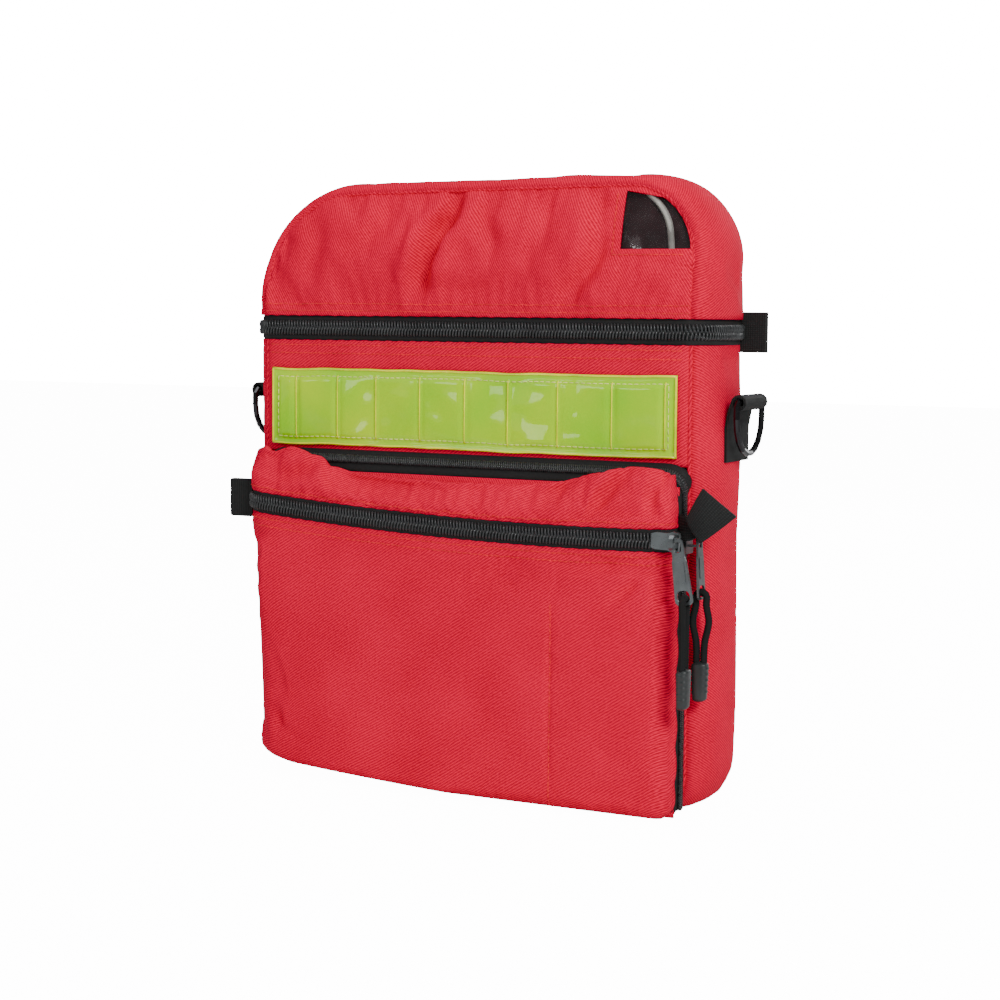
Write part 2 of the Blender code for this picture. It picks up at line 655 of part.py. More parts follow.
def build_back_and_straps(root):
    pad = rounded_rectangle(-116, 116, 40, 278, 22, 5)
    add_piece("back_pad", plate(pad, BACK_FACE_Y + GAP, BACK_FACE_Y + 7.4), root, BLACK, 0.85)
    face = BACK_FACE_Y + 7.8
    for side, name in ((-1, "left"), (1, "right")):
        centre = [(50, 281, 20), (52, 262, 24), (54, 230, 27), (60, 195, 28), (70, 160, 27),
                  (80, 132, 24), (86, 116, 15)]
        loops = []
        for x, z, half in centre:
            loops.append([(side * (x - half), face, z), (side * (x + half), face, z),
                          (side * (x + half - 3), face + 9, z), (side * (x - half + 3), face + 9, z)])
        add_piece("shoulder_pad_" + name, loft(loops), root, BLACK, 0.85)
        web = [(side * 87.5, face, 105.6), (side * 106, face, 72), (side * 119, face, 48),
               (side * 127, BACK_FACE_Y + 3, 34), (side * 134, BACK_FACE_Y + GAP, 22)]
        across = Vector((0.87, 0, side * 0.49))
        widths = [WEBBING / 2] * len(web)
        add_piece("lower_strap_" + name, ribbon(web, across, widths, 1.6), root, BLACK, 0.8)
        build_adjuster(side, name, root, face + 2.0)


def build_adjuster(side, name, root, back):
    """A ladder-lock buckle that slides on the lower strap."""
    run = Vector((side * 0.482, 0, -0.876))
    across = Vector((0.876, 0, side * 0.482))
    centre = Vector((side * 92.5, back + GAP, 96.5))
    carrier = joint_empty("adjuster_slide_" + name, centre, root)
    corners = [(-9, -17), (9, -17), (9, 17), (-9, 17)]
    body = loft([[centre + run * a + across * c + Vector((0, h, 0)) for a, c in corners]
                 for h in (0.0, 4.0)])
    piece = add_piece("strap_adjuster_" + name, body, carrier, BLACK, 0.5)
    for k, start in enumerate((-6.5, 1.8)):
        slot = [(start, -13.5), (start + 4.7, -13.5), (start + 4.7, 13.5), (start, 13.5)]
        tool = loft([[centre + run * a + across * c + Vector((0, h, 0)) for a, c in slot]
                     for h in (-2.0, 6.0)])
        cut(piece, tool, f"adjuster_slot_{name}_{k}")


# ---------------------------------------------------------------- assembly

def main():
    clear_scene()
    root = joint_empty("bag_body", (0, 0, 0))
    lid = joint_empty("lid_hinge", (0, BACK_FACE_Y + GAP, LID_ZIPPER_Z), root)
    flap = joint_empty("front_flap_hinge", (0, FLAP_Y, FLAP_HINGE_Z), root)
    handle = joint_empty("handle_swing", (0, 40.5, 392.0), lid)
    build_main_body(root)
    build_inside(root)
    build_lid(lid)
    build_window(lid)
    build_lid_zipper(root, lid)
    build_handle(handle)
    build_perimeter_zipper(root, flap)
    build_flap(flap)
    build_pocket(flap)
    build_pocket_tabs(flap)
    build_pocket_slider(flap)
    build_clamshell_slider(root)
    build_lid_slider(root)
    build_ring(-1, "left", root)
    build_ring(1, "right", root)
    build_back_and_straps(root)


main()
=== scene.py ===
"""The looks of the trauma backpack: fabric panels, zippers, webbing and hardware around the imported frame.

Lengths are written in millimetres and turned into metres where a mesh is made.
+X is right, -Y is the bag's front and +Z is up.
"""

import math

import bmesh
import bpy
import numpy as np
from mathutils import Matrix, Vector, noise


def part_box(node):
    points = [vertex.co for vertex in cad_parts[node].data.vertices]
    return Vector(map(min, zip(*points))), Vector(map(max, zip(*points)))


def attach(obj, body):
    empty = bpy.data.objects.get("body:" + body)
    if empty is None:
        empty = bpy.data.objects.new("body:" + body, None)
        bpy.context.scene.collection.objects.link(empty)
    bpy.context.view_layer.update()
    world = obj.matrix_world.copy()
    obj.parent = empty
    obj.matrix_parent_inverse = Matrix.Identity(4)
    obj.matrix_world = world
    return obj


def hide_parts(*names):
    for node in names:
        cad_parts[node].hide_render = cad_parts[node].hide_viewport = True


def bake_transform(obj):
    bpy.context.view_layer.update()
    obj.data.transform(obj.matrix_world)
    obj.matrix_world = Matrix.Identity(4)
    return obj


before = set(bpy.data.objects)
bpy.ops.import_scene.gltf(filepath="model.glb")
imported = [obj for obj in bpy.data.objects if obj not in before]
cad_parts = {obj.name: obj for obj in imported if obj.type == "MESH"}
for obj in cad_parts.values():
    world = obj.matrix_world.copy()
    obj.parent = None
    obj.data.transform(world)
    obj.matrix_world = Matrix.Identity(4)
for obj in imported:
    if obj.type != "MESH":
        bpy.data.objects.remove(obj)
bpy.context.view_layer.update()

MM = 0.001

# Body and lid, as the frame has them.
HALF_WIDTH = 153.0
SIDE_BULGE = 13.0
TOP_BULGE = 8.0
BOTTOM_BULGE = 6.0
LEFT_CORNER = 62.0
RIGHT_CORNER = 46.0
BOTTOM_CORNER = 18.0
LID_ZIPPER_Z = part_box("lid_zipper_lower_half")[1].z / MM + 0.3
TOP_SEAM_Z = 388.0
BOTTOM_SEAM_Z = 6.0
FRONT_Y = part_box("front_yoke")[0].y / MM
TAPE_HALF = 9.0
SEAM_HALF_DEPTH = 34.2
BACK_FULLNESS = 2.4
SIDE_ROUNDING = 9.0
CLOTH = 1.2
WEBBING_WIDTH = 25.4
WEBBING_THICKNESS = 1.4
CLOTH_FRAMES = 20
CLOTH_STIFFNESS = 8.0
DIVIDER_X = 75.0
DIVIDER_TOP = 132.0
WAVES_PER_UNIT = math.pi / 10.0
UP = (0.0, 0.0, 1.0)


# ---------------------------------------------------------------- small helpers

def smoothstep(value, low, high):
    t = np.clip((value - low) / (high - low), 0.0, 1.0)
    return t * t * (3.0 - 2.0 * t)


def curve_through(points, count):
    """A Catmull-Rom curve through the points, resampled to even steps."""
    p = np.array(points, float)
    ends = np.vstack([2 * p[0] - p[1], p, 2 * p[-1] - p[-2]])
    dense = []
    for i in range(1, len(ends) - 2):
        t = np.linspace(0, 1, 24, endpoint=False)[:, None]
        a, b, c, d = ends[i - 1], ends[i], ends[i + 1], ends[i + 2]
        dense.append(0.5 * ((2 * b) + (c - a) * t + (2 * a - 5 * b + 4 * c - d) * t ** 2
                            + (3 * b - a - 3 * c + d) * t ** 3))
    dense.append(p[-1:])
    return resample(np.vstack(dense), count)


def resample(path, count):
    path = np.asarray(path, float)
    steps = np.linalg.norm(np.diff(path, axis=0), axis=1)
    along = np.concatenate([[0.0], np.cumsum(steps)])
    wanted = np.linspace(0.0, along[-1], count)
    return np.stack([np.interp(wanted, along, path[:, k]) for k in range(path.shape[1])], axis=1)


def even_steps(path, count):
    """The path at even steps, and the normals on its right."""
    path = resample(path, count)
    run = tangents(path)
    return path, np.stack([run[:, 1], -run[:, 0]], axis=1)


def unit(vectors):
    vectors = np.asarray(vectors, float)
    return vectors / np.maximum(np.linalg.norm(vectors, axis=-1, keepdims=True), 1e-9)


def tangents(path):
    return unit(np.gradient(np.asarray(path, float), axis=0))


def level(plan):
    """Directions in plan (x, y) as directions in space."""
    return np.column_stack([plan, np.zeros(len(plan))])


def upright(front):
    """Directions in the front view (x, z) as directions in space."""
    return np.insert(front, 1, 0.0, axis=1)


def wavy(points, scale, seed=0.0):
    """Smooth noise between -1 and 1 at points in millimetres, with features about scale wide."""
    flat = np.asarray(points, float).reshape(-1, 3)
    values = [noise.noise(Vector(p / scale) + Vector((seed, 2 * seed, 3 * seed))) for p in flat]
    return np.array(values).reshape(np.asarray(points).shape[:-1]) * 1.6


def link(name, mesh, look):
    """Puts a mesh in the scene under one of the looks."""
    piece = bpy.data.objects.new(name, mesh)
    bpy.context.scene.collection.objects.link(piece)
    mesh.materials.append(LOOKS[look])
    return piece


def mesh_from(name, verts, faces, look, uvs=None, smooth=True):
    """A mesh object from vertices in millimetres, with uvs in millimetres too."""
    mesh = bpy.data.meshes.new(name)
    mesh.from_pydata((np.asarray(verts, float) * MM).tolist(), [], faces)
    if uvs is not None:
        set_uvs(mesh, uvs)
    mesh.update()
    if smooth:
        mesh.shade_smooth()
    return link(name, mesh, look)


def grid_faces(rows, cols, close_rows=False, close_cols=False, flip=False):
    faces = []
    for i in range(rows if close_rows else rows - 1):
        for j in range(cols if close_cols else cols - 1):
            below = i * cols
            above = (i + 1) % rows * cols
            a, b = below + j, below + (j + 1) % cols
            d, c = above + j, above + (j + 1) % cols
            faces.append((a, d, c, b) if flip else (a, b, c, d))
    return faces


def set_uvs(mesh, uvs):
    """Gives a mesh a cloth layer from one uv per vertex, in millimetres."""
    layer = mesh.uv_layers.new(name="cloth")
    index = np.zeros(len(mesh.loops), int)
    mesh.loops.foreach_get("vertex_index", index)
    layer.data.foreach_set("uv", (np.asarray(uvs, float)[index] * MM).ravel())


def arc_length_uv(points):
    """UVs in millimetres that follow the grid's own lengths along its middle lines."""
    rows, cols = points.shape[:2]
    across = np.linalg.norm(np.diff(points[rows // 2], axis=0), axis=1)
    down = np.linalg.norm(np.diff(points[:, cols // 2], axis=0), axis=1)
    u = np.concatenate([[0.0], np.cumsum(across)])
    v = np.concatenate([[0.0], np.cumsum(down)])
    return np.stack(np.meshgrid(u, v), axis=-1)


def hanging_uv(points):
    """UVs in millimetres for a panel seen from the front: along its first row and up each column."""
    along = np.linalg.norm(np.diff(points[0], axis=0), axis=1)
    u = np.concatenate([[0.0], np.cumsum(along)])
    rise = np.linalg.norm(np.diff(points, axis=0), axis=2)
    v = points[0, :, 2] + np.vstack([np.zeros(points.shape[1]), np.cumsum(rise, axis=0)])
    return np.stack([np.broadcast_to(u, v.shape), v], axis=-1)


def sheet(name, points, look, flip=False, uv=None):
    """A grid of points as an open sheet."""
    rows, cols = points.shape[:2]
    uv = arc_length_uv(points) if uv is None else uv
    return mesh_from(name, points.reshape(-1, 3), grid_faces(rows, cols, flip=flip), look, uv.reshape(-1, 2))


def thicken(piece, thickness=CLOTH, offset=-1.0):
    modifier = piece.modifiers.new("thickness", "SOLIDIFY")
    modifier.thickness = thickness * MM
    modifier.offset = offset
    modifier.use_rim = True
    return piece


def apply_modifiers(piece):
    """Bakes a piece's modifiers into its mesh."""
    graph = bpy.context.evaluated_depsgraph_get()
    mesh = bpy.data.meshes.new_from_object(piece.evaluated_get(graph))
    old = piece.data
    piece.modifiers.clear()
    piece.data = mesh
    bpy.data.meshes.remove(old)
    return piece


def set_points(piece, points):
    piece.data.vertices.foreach_set("co", (np.asarray(points).reshape(-1, 3) * MM).ravel())
    piece.data.update()


def get_points(piece):
    co = np.zeros(len(piece.data.vertices) * 3)
    piece.data.vertices.foreach_get("co", co)
    return co.reshape(-1, 3) / MM


def tube_mesh(path, radius, sides=10, ring=False, normal=None):
    """Vertices and faces of a rod along a path; radius may vary along it."""
    path = np.asarray(path, float)
    count = len(path)
    if ring:
        run = unit(np.roll(path, -1, 0) - np.roll(path, 1, 0))
    else:
        run = tangents(path)
    radius = np.broadcast_to(np.asarray(radius, float), (count,))
    side = np.zeros_like(path)
    guide = np.array(normal if normal is not None else (0.0, 0.0, 1.0), float)
    if normal is None and abs(run[0] @ guide) > 0.9:
        guide = np.array((0.0, 1.0, 0.0))
    for i in range(count):
        side[i] = np.cross(run[i], guide)
        side[i] /= max(np.linalg.norm(side[i]), 1e-9)
        if normal is None:
            guide = np.cross(side[i], run[i])
    up = np.cross(side, run)
    angle = np.linspace(0, 2 * math.pi, sides, endpoint=False)
    ringed = (path[:, None] + radius[:, None, None] * (np.cos(angle)[None, :, None] * side[:, None]
              + np.sin(angle)[None, :, None] * up[:, None]))
    verts = ringed.reshape(-1, 3)
    faces = grid_faces(count, sides, close_rows=ring, close_cols=True)
    if not ring:
        faces.append(tuple(range(sides - 1, -1, -1)))
        faces.append(tuple(range((count - 1) * sides, count * sides)))
    return verts, faces


def place_on(piece, body, slot, *nodes):
    """Rides a piece on a body, in place of the frame's nodes. The slot argument is not used."""
    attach(piece, body)
    if nodes:
        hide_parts(*nodes)
    return piece


class Heap:
    """Collects many small solids into one mesh."""

    def __init__(self):
        self.verts = []
        self.faces = []
        self.size = 0

    def add(self, verts, faces):
        self.verts.append(np.asarray(verts, float))
        self.faces += [tuple(self.size + k for k in face) for face in faces]
        self.size += len(verts)

    def piece(self, name, look):
        return mesh_from(name, np.vstack(self.verts), self.faces, look)


def bevel(piece, width, segments=2, angle=40):
    modifier = piece.modifiers.new("bevel", "BEVEL")
    modifier.width = width * MM
    modifier.segments = segments
    modifier.limit_method = "ANGLE"
    modifier.angle_limit = math.radians(angle)
    return piece


# ---------------------------------------------------------------- materials

class Nodes:
    """Short names for building a node material."""

    def __init__(self, name):
        self.material = bpy.data.materials.new(name)
        self.material.use_nodes = True
        self.tree = self.material.node_tree
        self.shader = self.tree.nodes["Principled BSDF"]

    def add(self, kind, **settings):
        node = self.tree.nodes.new("ShaderNode" + kind)
        for key, value in settings.items():
            setattr(node, key, value)
        return node

    def link(self, source, target):
        self.tree.links.new(source, target)

    def set(self, **values):
        names = {"rough": "Roughness", "metal": "Metallic", "coat": "Coat Weight",
                 "coat_rough": "Coat Roughness", "specular": "Specular IOR Level", "alpha": "Alpha",
                 "glow": "Emission Strength"}
        for key, value in values.items():
            self.shader.inputs[names[key]].default_value = value

    def math(self, operation, a, b=None, clamp=False):
        node = self.add("Math", operation=operation, use_clamp=clamp)
        for slot, value in enumerate((a, b)):
            if value is None:
                continue
            if isinstance(value, (int, float)):
                node.inputs[slot].default_value = value
            else:
                self.link(value, node.inputs[slot])
        return node.outputs[0]

    def shares(self, *pairs):
        """The sum of some outputs, each times its share."""
        parts = [self.math("MULTIPLY", output, share) for output, share in pairs]
        total = parts[0]
        for part in parts[1:]:
            total = self.math("ADD", total, part)
        return total

    def noise(self, coords, scale, detail=2.0, rough=0.5):
        node = self.add("TexNoise")
        self.link(coords, node.inputs["Vector"])
        node.inputs["Scale"].default_value = scale
        node.inputs["Detail"].default_value = detail
        node.inputs["Roughness"].default_value = rough
        return node.outputs["Fac"]

    def wave(self, coords, period_mm, turn_degrees, distort=0.0):
        """A sine wave across the cloth, its lines turned from the vertical."""
        mapping = self.add("Mapping")
        self.link(coords, mapping.inputs["Vector"])
        mapping.inputs["Rotation"].default_value[2] = math.radians(turn_degrees)
        node = self.add("TexWave", wave_type="BANDS", bands_direction="X")
        self.link(mapping.outputs["Vector"], node.inputs["Vector"])
        node.inputs["Scale"].default_value = WAVES_PER_UNIT / (period_mm * MM)
        node.inputs["Distortion"].default_value = distort
        return node.outputs["Fac"]

    def ramp(self, factor, stops):
        node = self.add("ValToRGB")
        self.link(factor, node.inputs["Fac"])
        elements = node.color_ramp.elements
        while len(elements) < len(stops):
            elements.new(0.5)
        for element, (place, colour) in zip(elements, stops):
            element.position = place
            element.color = (*colour, 1.0)
        return node.outputs["Color"]

    def bump(self, height, distance_mm, strength=1.0, below=None):
        node = self.add("Bump")
        node.inputs["Strength"].default_value = strength
        node.inputs["Distance"].default_value = distance_mm * MM
        self.link(height, node.inputs["Height"])
        if below is not None:
            self.link(below, node.inputs["Normal"])
        return node.outputs["Normal"]

    def coordinates(self, kind):
        if kind == "cloth":
            node = self.add("UVMap", uv_map="cloth")
            return node.outputs["UV"]
        return self.add("TexCoord").outputs["Object"]

    def colour(self, socket):
        self.link(socket, self.shader.inputs["Base Color"])

    def normal(self, socket):
        self.link(socket, self.shader.inputs["Normal"])

    def roughness(self, socket):
        self.link(socket, self.shader.inputs["Roughness"])


def red_twill(name, turn, period, space_only=False):
    """Coated polyester twill: a diagonal rib, uneven yarns and soft blotches of tone."""
    n = Nodes(name)
    cloth = n.coordinates("object" if space_only else "cloth")
    space = n.coordinates("object")
    rib = n.wave(cloth, period, turn, 0.8)
    yarn = n.wave(cloth, 0.62 * period, turn + 74, 0.8)
    speck = n.noise(cloth, 700.0, 1.0, 0.6)
    blotch = n.noise(space, 26.0, 2.0, 0.5)
    weave = n.shares((rib, 0.66), (yarn, 0.34))
    tone = n.shares((weave, 0.42), (speck, 0.40), (blotch, 0.18))
    n.colour(n.ramp(tone, [(0.26, (0.38, 0.0, 0.012)), (0.70, (1.0, 0.0, 0.060))]))
    n.roughness(n.ramp(tone, [(0.2, (0.80,) * 3), (0.8, (0.62,) * 3)]))
    n.set(specular=0.05)
    ripple = n.bump(n.noise(space, 90.0, 2.0, 0.5), 0.5, 0.35)
    n.normal(n.bump(weave, 0.18, 0.6, ripple))
    return n.material


def black_weave(name, tone=0.012, period=1.2, turn=0.0, rough=0.75, bump=0.25, space_only=False):
    """Woven black webbing or tape, ribbed across its run."""
    n = Nodes(name)
    cloth = n.coordinates("object" if space_only else "cloth")
    warp = n.wave(cloth, period, turn, 0.15)
    weft = n.wave(cloth, period * 0.8, turn + 90, 0.15)
    weave = n.math("MULTIPLY", warp, weft)
    dust = n.noise(cloth, 700.0, 2.0, 0.6)
    mixed = n.shares((weave, 0.55), (dust, 0.45))
    n.colour(n.ramp(mixed, [(0.1, (tone * 0.45,) * 3), (0.9, (tone * 2.3, tone * 2.5, tone * 2.45))]))
    n.set(rough=rough, specular=0.2)
    n.normal(n.bump(weave, bump, 0.6))
    return n.material


def solid_look(name, colour, rough, metal=0.0, grain=0.06, grain_scale=400.0, coat=0.0):
    """Moulded plastic or enamelled metal, with fine grain and slightly worn roughness."""
    n = Nodes(name)
    space = n.coordinates("object")
    fine = n.noise(space, grain_scale, 3.0, 0.6)
    wide = n.noise(space, 60.0, 2.0, 0.5)
    dark = tuple(c * 0.75 for c in colour)
    light = tuple(min(1.0, c * 1.25) for c in colour)
    n.colour(n.ramp(wide, [(0.3, dark), (0.7, light)]))
    n.roughness(n.ramp(fine, [(0.25, (max(0.02, rough - 0.08),) * 3), (0.75, (rough + 0.1,) * 3)]))
    n.set(metal=metal, coat=coat, coat_rough=0.15)
    n.normal(n.bump(fine, grain, 0.4))
    return n.material


def strip_vinyl():
    """Fluorescent prismatic sheet under clear glossy vinyl, with a faint painted glow in its own colour."""
    n = Nodes("lime_vinyl")
    space = n.coordinates("object")
    patch = n.noise(space, 24.0, 1.0, 0.4)
    cells = n.add("TexVoronoi")
    n.link(space, cells.inputs["Vector"])
    cells.inputs["Scale"].default_value = 900.0
    tone = n.shares((patch, 0.75), (cells.outputs["Distance"], 0.12))
    colour = n.ramp(tone, [(0.25, (0.27, 0.66, 0.0)), (0.7, (0.50, 0.76, 0.0))])
    n.colour(colour)
    # The colour also feeds a faint emission: a painted glow that stands in for the sheet's fluorescence.
    n.link(colour, n.shader.inputs["Emission Color"])
    n.set(rough=0.5, specular=0.0, coat=0.45, coat_rough=0.03, glow=0.05)
    n.normal(n.bump(n.noise(space, 50.0, 1.0, 0.5), 0.5, 0.15))
    return n.material


def window_vinyl():
    """Clear vinyl over a dark pocket: mostly reflection."""
    n = Nodes("clear_vinyl")
    space = n.coordinates("object")
    n.colour(n.ramp(n.noise(space, 120.0), [(0.3, (0.01, 0.01, 0.01)), (0.7, (0.03, 0.03, 0.03))]))
    n.set(rough=0.10, alpha=0.25, coat=1.0, coat_rough=0.06)
    n.normal(n.bump(n.noise(space, 90.0, 1.0, 0.5), 0.8, 0.6))
    return n.material


def spacer_mesh():
    """Charcoal spacer mesh: a net of small round openings over black foam."""
    n = Nodes("spacer_mesh")
    cells = n.add("TexVoronoi", feature="DISTANCE_TO_EDGE")
    n.link(n.coordinates("object"), cells.inputs["Vector"])
    cells.inputs["Scale"].default_value = 320.0
    cells.inputs["Randomness"].default_value = 0.25
    net = n.math("SUBTRACT", 1.0, n.math("MULTIPLY", cells.outputs["Distance"], 3.2, True), True)
    n.colour(n.ramp(net, [(0.2, (0.004, 0.004, 0.004)), (0.8, (0.045, 0.047, 0.050))]))
    n.set(rough=0.85, specular=0.2)
    n.normal(n.bump(net, 0.8, 0.8))
    return n.material


def make_looks():
    return {
        "red": red_twill("red_twill", -32, 1.45),
        "red_across": red_twill("red_twill_across", 58, 1.6),
        "webbing": black_weave("black_webbing", 0.013, 1.5, 0.0, 0.7, 0.3),
        "tape": black_weave("zipper_tape", 0.014, 0.9, 0.0, 0.7, 0.2),
        "coil": solid_look("zipper_coil", (0.030, 0.032, 0.033), 0.28),
        "metal": solid_look("gunmetal", (0.125, 0.138, 0.142), 0.32, 0.9, 0.03, 900.0),
        "ring": solid_look("black_nickel", (0.035, 0.035, 0.038), 0.16, 0.9, 0.01),
        "cord": black_weave("braided_cord", 0.012, 1.1, 40.0, 0.85, 0.3),
        "grip": solid_look("moulded_grip", (0.016, 0.020, 0.020), 0.42, 0.0, 0.05),
        "plastic": solid_look("black_acetal", (0.018, 0.018, 0.019), 0.4, 0.0, 0.05),
        "board": solid_look("grey_board", (0.16, 0.16, 0.15), 0.8, 0.0, 0.2),
        "card": solid_look("white_card", (0.62, 0.60, 0.55), 0.7, 0.0, 0.05),
        "red_thread": solid_look("red_thread", (0.80, 0.005, 0.015), 0.7, 0.0, 0.1, 1500.0),
        "lime_thread": solid_look("lime_thread", (0.80, 0.92, 0.22), 0.6, 0.0, 0.1, 1500.0),
        "red_space": red_twill("red_twill_solid", -32, 1.45, space_only=True),
        "webbing_space": black_weave("webbing_solid", 0.008, 1.5, 0.0, 0.7, 0.3, True),
        "strip": strip_vinyl(),
        "lime_rim": solid_look("lime_rim", (0.80, 0.92, 0.0), 0.25, 0.0, 0.02, 300.0, 0.5),
        "pad_cloth": black_weave("pad_cloth", 0.016, 0.8, 20.0, 0.7, 0.2, True),
        "pad_mesh": spacer_mesh(),
        "window": window_vinyl(),
        # The sleeve is near-black vinyl; its dark red tint is painted red reflection.
        "sleeve": solid_look("sleeve_vinyl_red_reflection", (0.040, 0.002, 0.007), 0.5, 0.0, 0.02, 60.0),
    }


LOOKS = make_looks()


# ---------------------------------------------------------------- shapes the panels share

def bulge_share(y):
    """How much of the full bulge the band has at a place across the depth."""
    across = np.clip(np.abs(y) / SEAM_HALF_DEPTH, 0.0, 1.0)
    return (1.0 - across ** 2.3) ** 0.42


def depth_steps(rows):
    """Places across the depth from -1 to 1, closer together at the two seams."""
    even = np.linspace(-1.0, 1.0, rows)
    return (0.5 * even + 0.5 * np.sin(even * math.pi / 2.0))[:, None]


def lid_top(x):
    """The lid's top seam is a little higher at its right."""
    return TOP_SEAM_Z + 0.012 * x


def lid_outline(count):
    """The lid's seam line, from the left hem over the top to the right hem, with outward normals."""
    low_z = LID_ZIPPER_Z + TAPE_HALF - 1.0
    arc = np.linspace(math.pi, math.pi / 2, 30)
    sides = []
    for sign, corner in ((1.0, LEFT_CORNER), (-1.0, RIGHT_CORNER)):
        x = -(HALF_WIDTH - corner) + corner * np.cos(arc)
        z = lid_top(x * sign) - corner + corner * np.sin(arc)
        sides.append(np.stack([x * sign, z], axis=1))
    crown = np.linspace(LEFT_CORNER - HALF_WIDTH, HALF_WIDTH - RIGHT_CORNER, 20)[1:-1]
    top = np.stack([crown, lid_top(crown)], axis=1)
    path = np.vstack([[[-HALF_WIDTH, low_z]], sides[0], top, sides[1][::-1], [[HALF_WIDTH, low_z]]])
    path, inward = even_steps(path, count)
    return path, -inward


def body_outline(count):
    """The body's seam line, from the left hem under the bottom to the right hem, with outward normals."""
    high_z = LID_ZIPPER_Z - TAPE_HALF + 1.0
    arc = np.linspace(math.pi, 1.5 * math.pi, 14)
    left = np.stack([-(HALF_WIDTH - BOTTOM_CORNER) + BOTTOM_CORNER * np.cos(arc),
                     BOTTOM_SEAM_Z + BOTTOM_CORNER + BOTTOM_CORNER * np.sin(arc)], axis=1)
    right = left[::-1] * [-1, 1]
    return even_steps(np.vstack([[[-HALF_WIDTH, high_z]], left, right, [[HALF_WIDTH, high_z]]]), count)


def seam_recede(z):
    """How far the lid's front seam lies behind the zipper's line: more towards the top."""
    up = np.clip((z - 318.0) / 60.0, 0.0, 1.0)
    return 8.0 * up ** 1.2


def band_grid(seam, normal, y, bulge):
    """A band round the bag's side: the seam line, pushed out along its normals."""
    x = seam[:, 0] + normal[:, 0] * bulge
    z = seam[:, 1] + normal[:, 1] * bulge
    return np.stack([x, np.broadcast_to(y, x.shape), z], axis=2)


def lift_rear_bottom(points):
    """The bag's bottom edge is rounded up towards its back."""
    p = points.copy()
    rear = np.clip((p[..., 1] - 6.0) / 32.0, 0.0, 1.0)
    low = 1.0 - smoothstep(p[..., 2], 0.0, 70.0)
    p[..., 2] += 14.0 * rear ** 2 * low
    return p


def settle_left(points):
    """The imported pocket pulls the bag's left side in and the front of its bottom's left end up."""
    p = points.copy()
    end = np.clip(-p[..., 0] / 130.0, 0.0, 1.2) ** 1.15
    front = 1.0 - smoothstep(p[..., 1], -25.0, 30.0)
    bottom = 1.0 - smoothstep(p[..., 2], 0.0, 90.0)
    p[..., 2] += 8.0 * end * front * bottom
    left = smoothstep(-p[..., 0], 70.0, 150.0)
    low = 1.0 - smoothstep(p[..., 2], 0.0, 205.0)
    p[..., 0] += 7.0 * left * low
    return p


def fold_height(points, folds):
    """Soft folds in the front view, each a line, a width and a depth. The cloth rises beside a valley."""
    flat = points.reshape(-1, 3)[:, [0, 2]]
    height = np.zeros(len(flat))
    for line, width, depth in folds:
        path = curve_through([(x, 0.0, z) for x, z in line], 40)[:, [0, 2]]
        gap = flat[:, None] - path[None]
        distance = np.linalg.norm(gap, axis=2)
        nearest = distance.argmin(axis=1)
        reach = distance[np.arange(len(flat)), nearest]
        along = nearest / 39.0
        fade = np.sin(np.clip(along, 0.02, 0.98) * math.pi) ** 0.45
        valley = np.exp(-(reach / width) ** 2)
        ridge = np.exp(-((reach - 1.9 * width) / (1.1 * width)) ** 2)
        height += depth * fade * (0.55 * ridge - valley)
    return height.reshape(points.shape[:2])


def sim_cloth(piece, pins, pressure, shrink, cap):
    """Lets the panel billow and wrinkle between its pinned edges, then keeps that shape.

    The cloth is a little bigger than its frame, so that it folds. No point may move further than cap.
    """
    before = get_points(piece)
    group = piece.vertex_groups.new(name="pins")
    group.add(np.flatnonzero(pins).tolist(), 1.0, "REPLACE")
    scene = bpy.context.scene
    scene.frame_start = 1
    scene.frame_end = CLOTH_FRAMES
    cloth = piece.modifiers.new("cloth", "CLOTH")
    settings = cloth.settings
    settings.vertex_group_mass = "pins"
    settings.quality = 6
    settings.mass = 0.3
    settings.tension_stiffness = CLOTH_STIFFNESS
    settings.compression_stiffness = CLOTH_STIFFNESS
    settings.shear_stiffness = CLOTH_STIFFNESS * 0.5
    settings.bending_stiffness = 0.6
    settings.air_damping = 2.0
    settings.shrink_min = shrink
    settings.use_pressure = True
    settings.uniform_pressure_force = pressure
    settings.effector_weights.gravity = 0.0
    cloth.collision_settings.use_collision = False
    cloth.point_cache.frame_start = 1
    cloth.point_cache.frame_end = CLOTH_FRAMES
    for number in range(1, CLOTH_FRAMES + 1):
        scene.frame_set(number)
    apply_modifiers(piece)
    scene.frame_set(1)
    after = get_points(piece)
    if len(after) != len(before) or not np.isfinite(after).all():
        raise RuntimeError("the cloth simulation of " + piece.name + " gave no usable shape")
    move = after - before
    size = np.linalg.norm(move, axis=1, keepdims=True)
    limited = before + move * np.tanh(size / cap) * cap / np.maximum(size, 1e-9)
    piece.vertex_groups.clear()
    return limited


def border_pins(rows, cols):
    """A pin at each point along the sheet's four edges."""
    pins = np.ones((rows, cols))
    pins[1:-1, 1:-1] = 0.0
    return pins


def stitch_row(heap, points, outward, length=2.6, gap=1.1, radius=0.38):
    """Dashes of thread along a line that lies on the cloth."""
    points = np.asarray(points, float)
    steps = np.linalg.norm(np.diff(points, axis=0), axis=1)
    total = steps.sum()
    number = max(1, int(total / (length + gap)))
    fine = resample(np.hstack([points, np.broadcast_to(outward, points.shape)]), number * 4 + 1)
    for k in range(number):
        dash = fine[4 * k:4 * k + 4]
        path = dash[:, :3] + unit(dash[:, 3:]) * np.array([-0.1, 0.28, 0.28, -0.1])[:, None]
        heap.add(*tube_mesh(path, radius, sides=5, normal=unit(dash[0, 3:])))


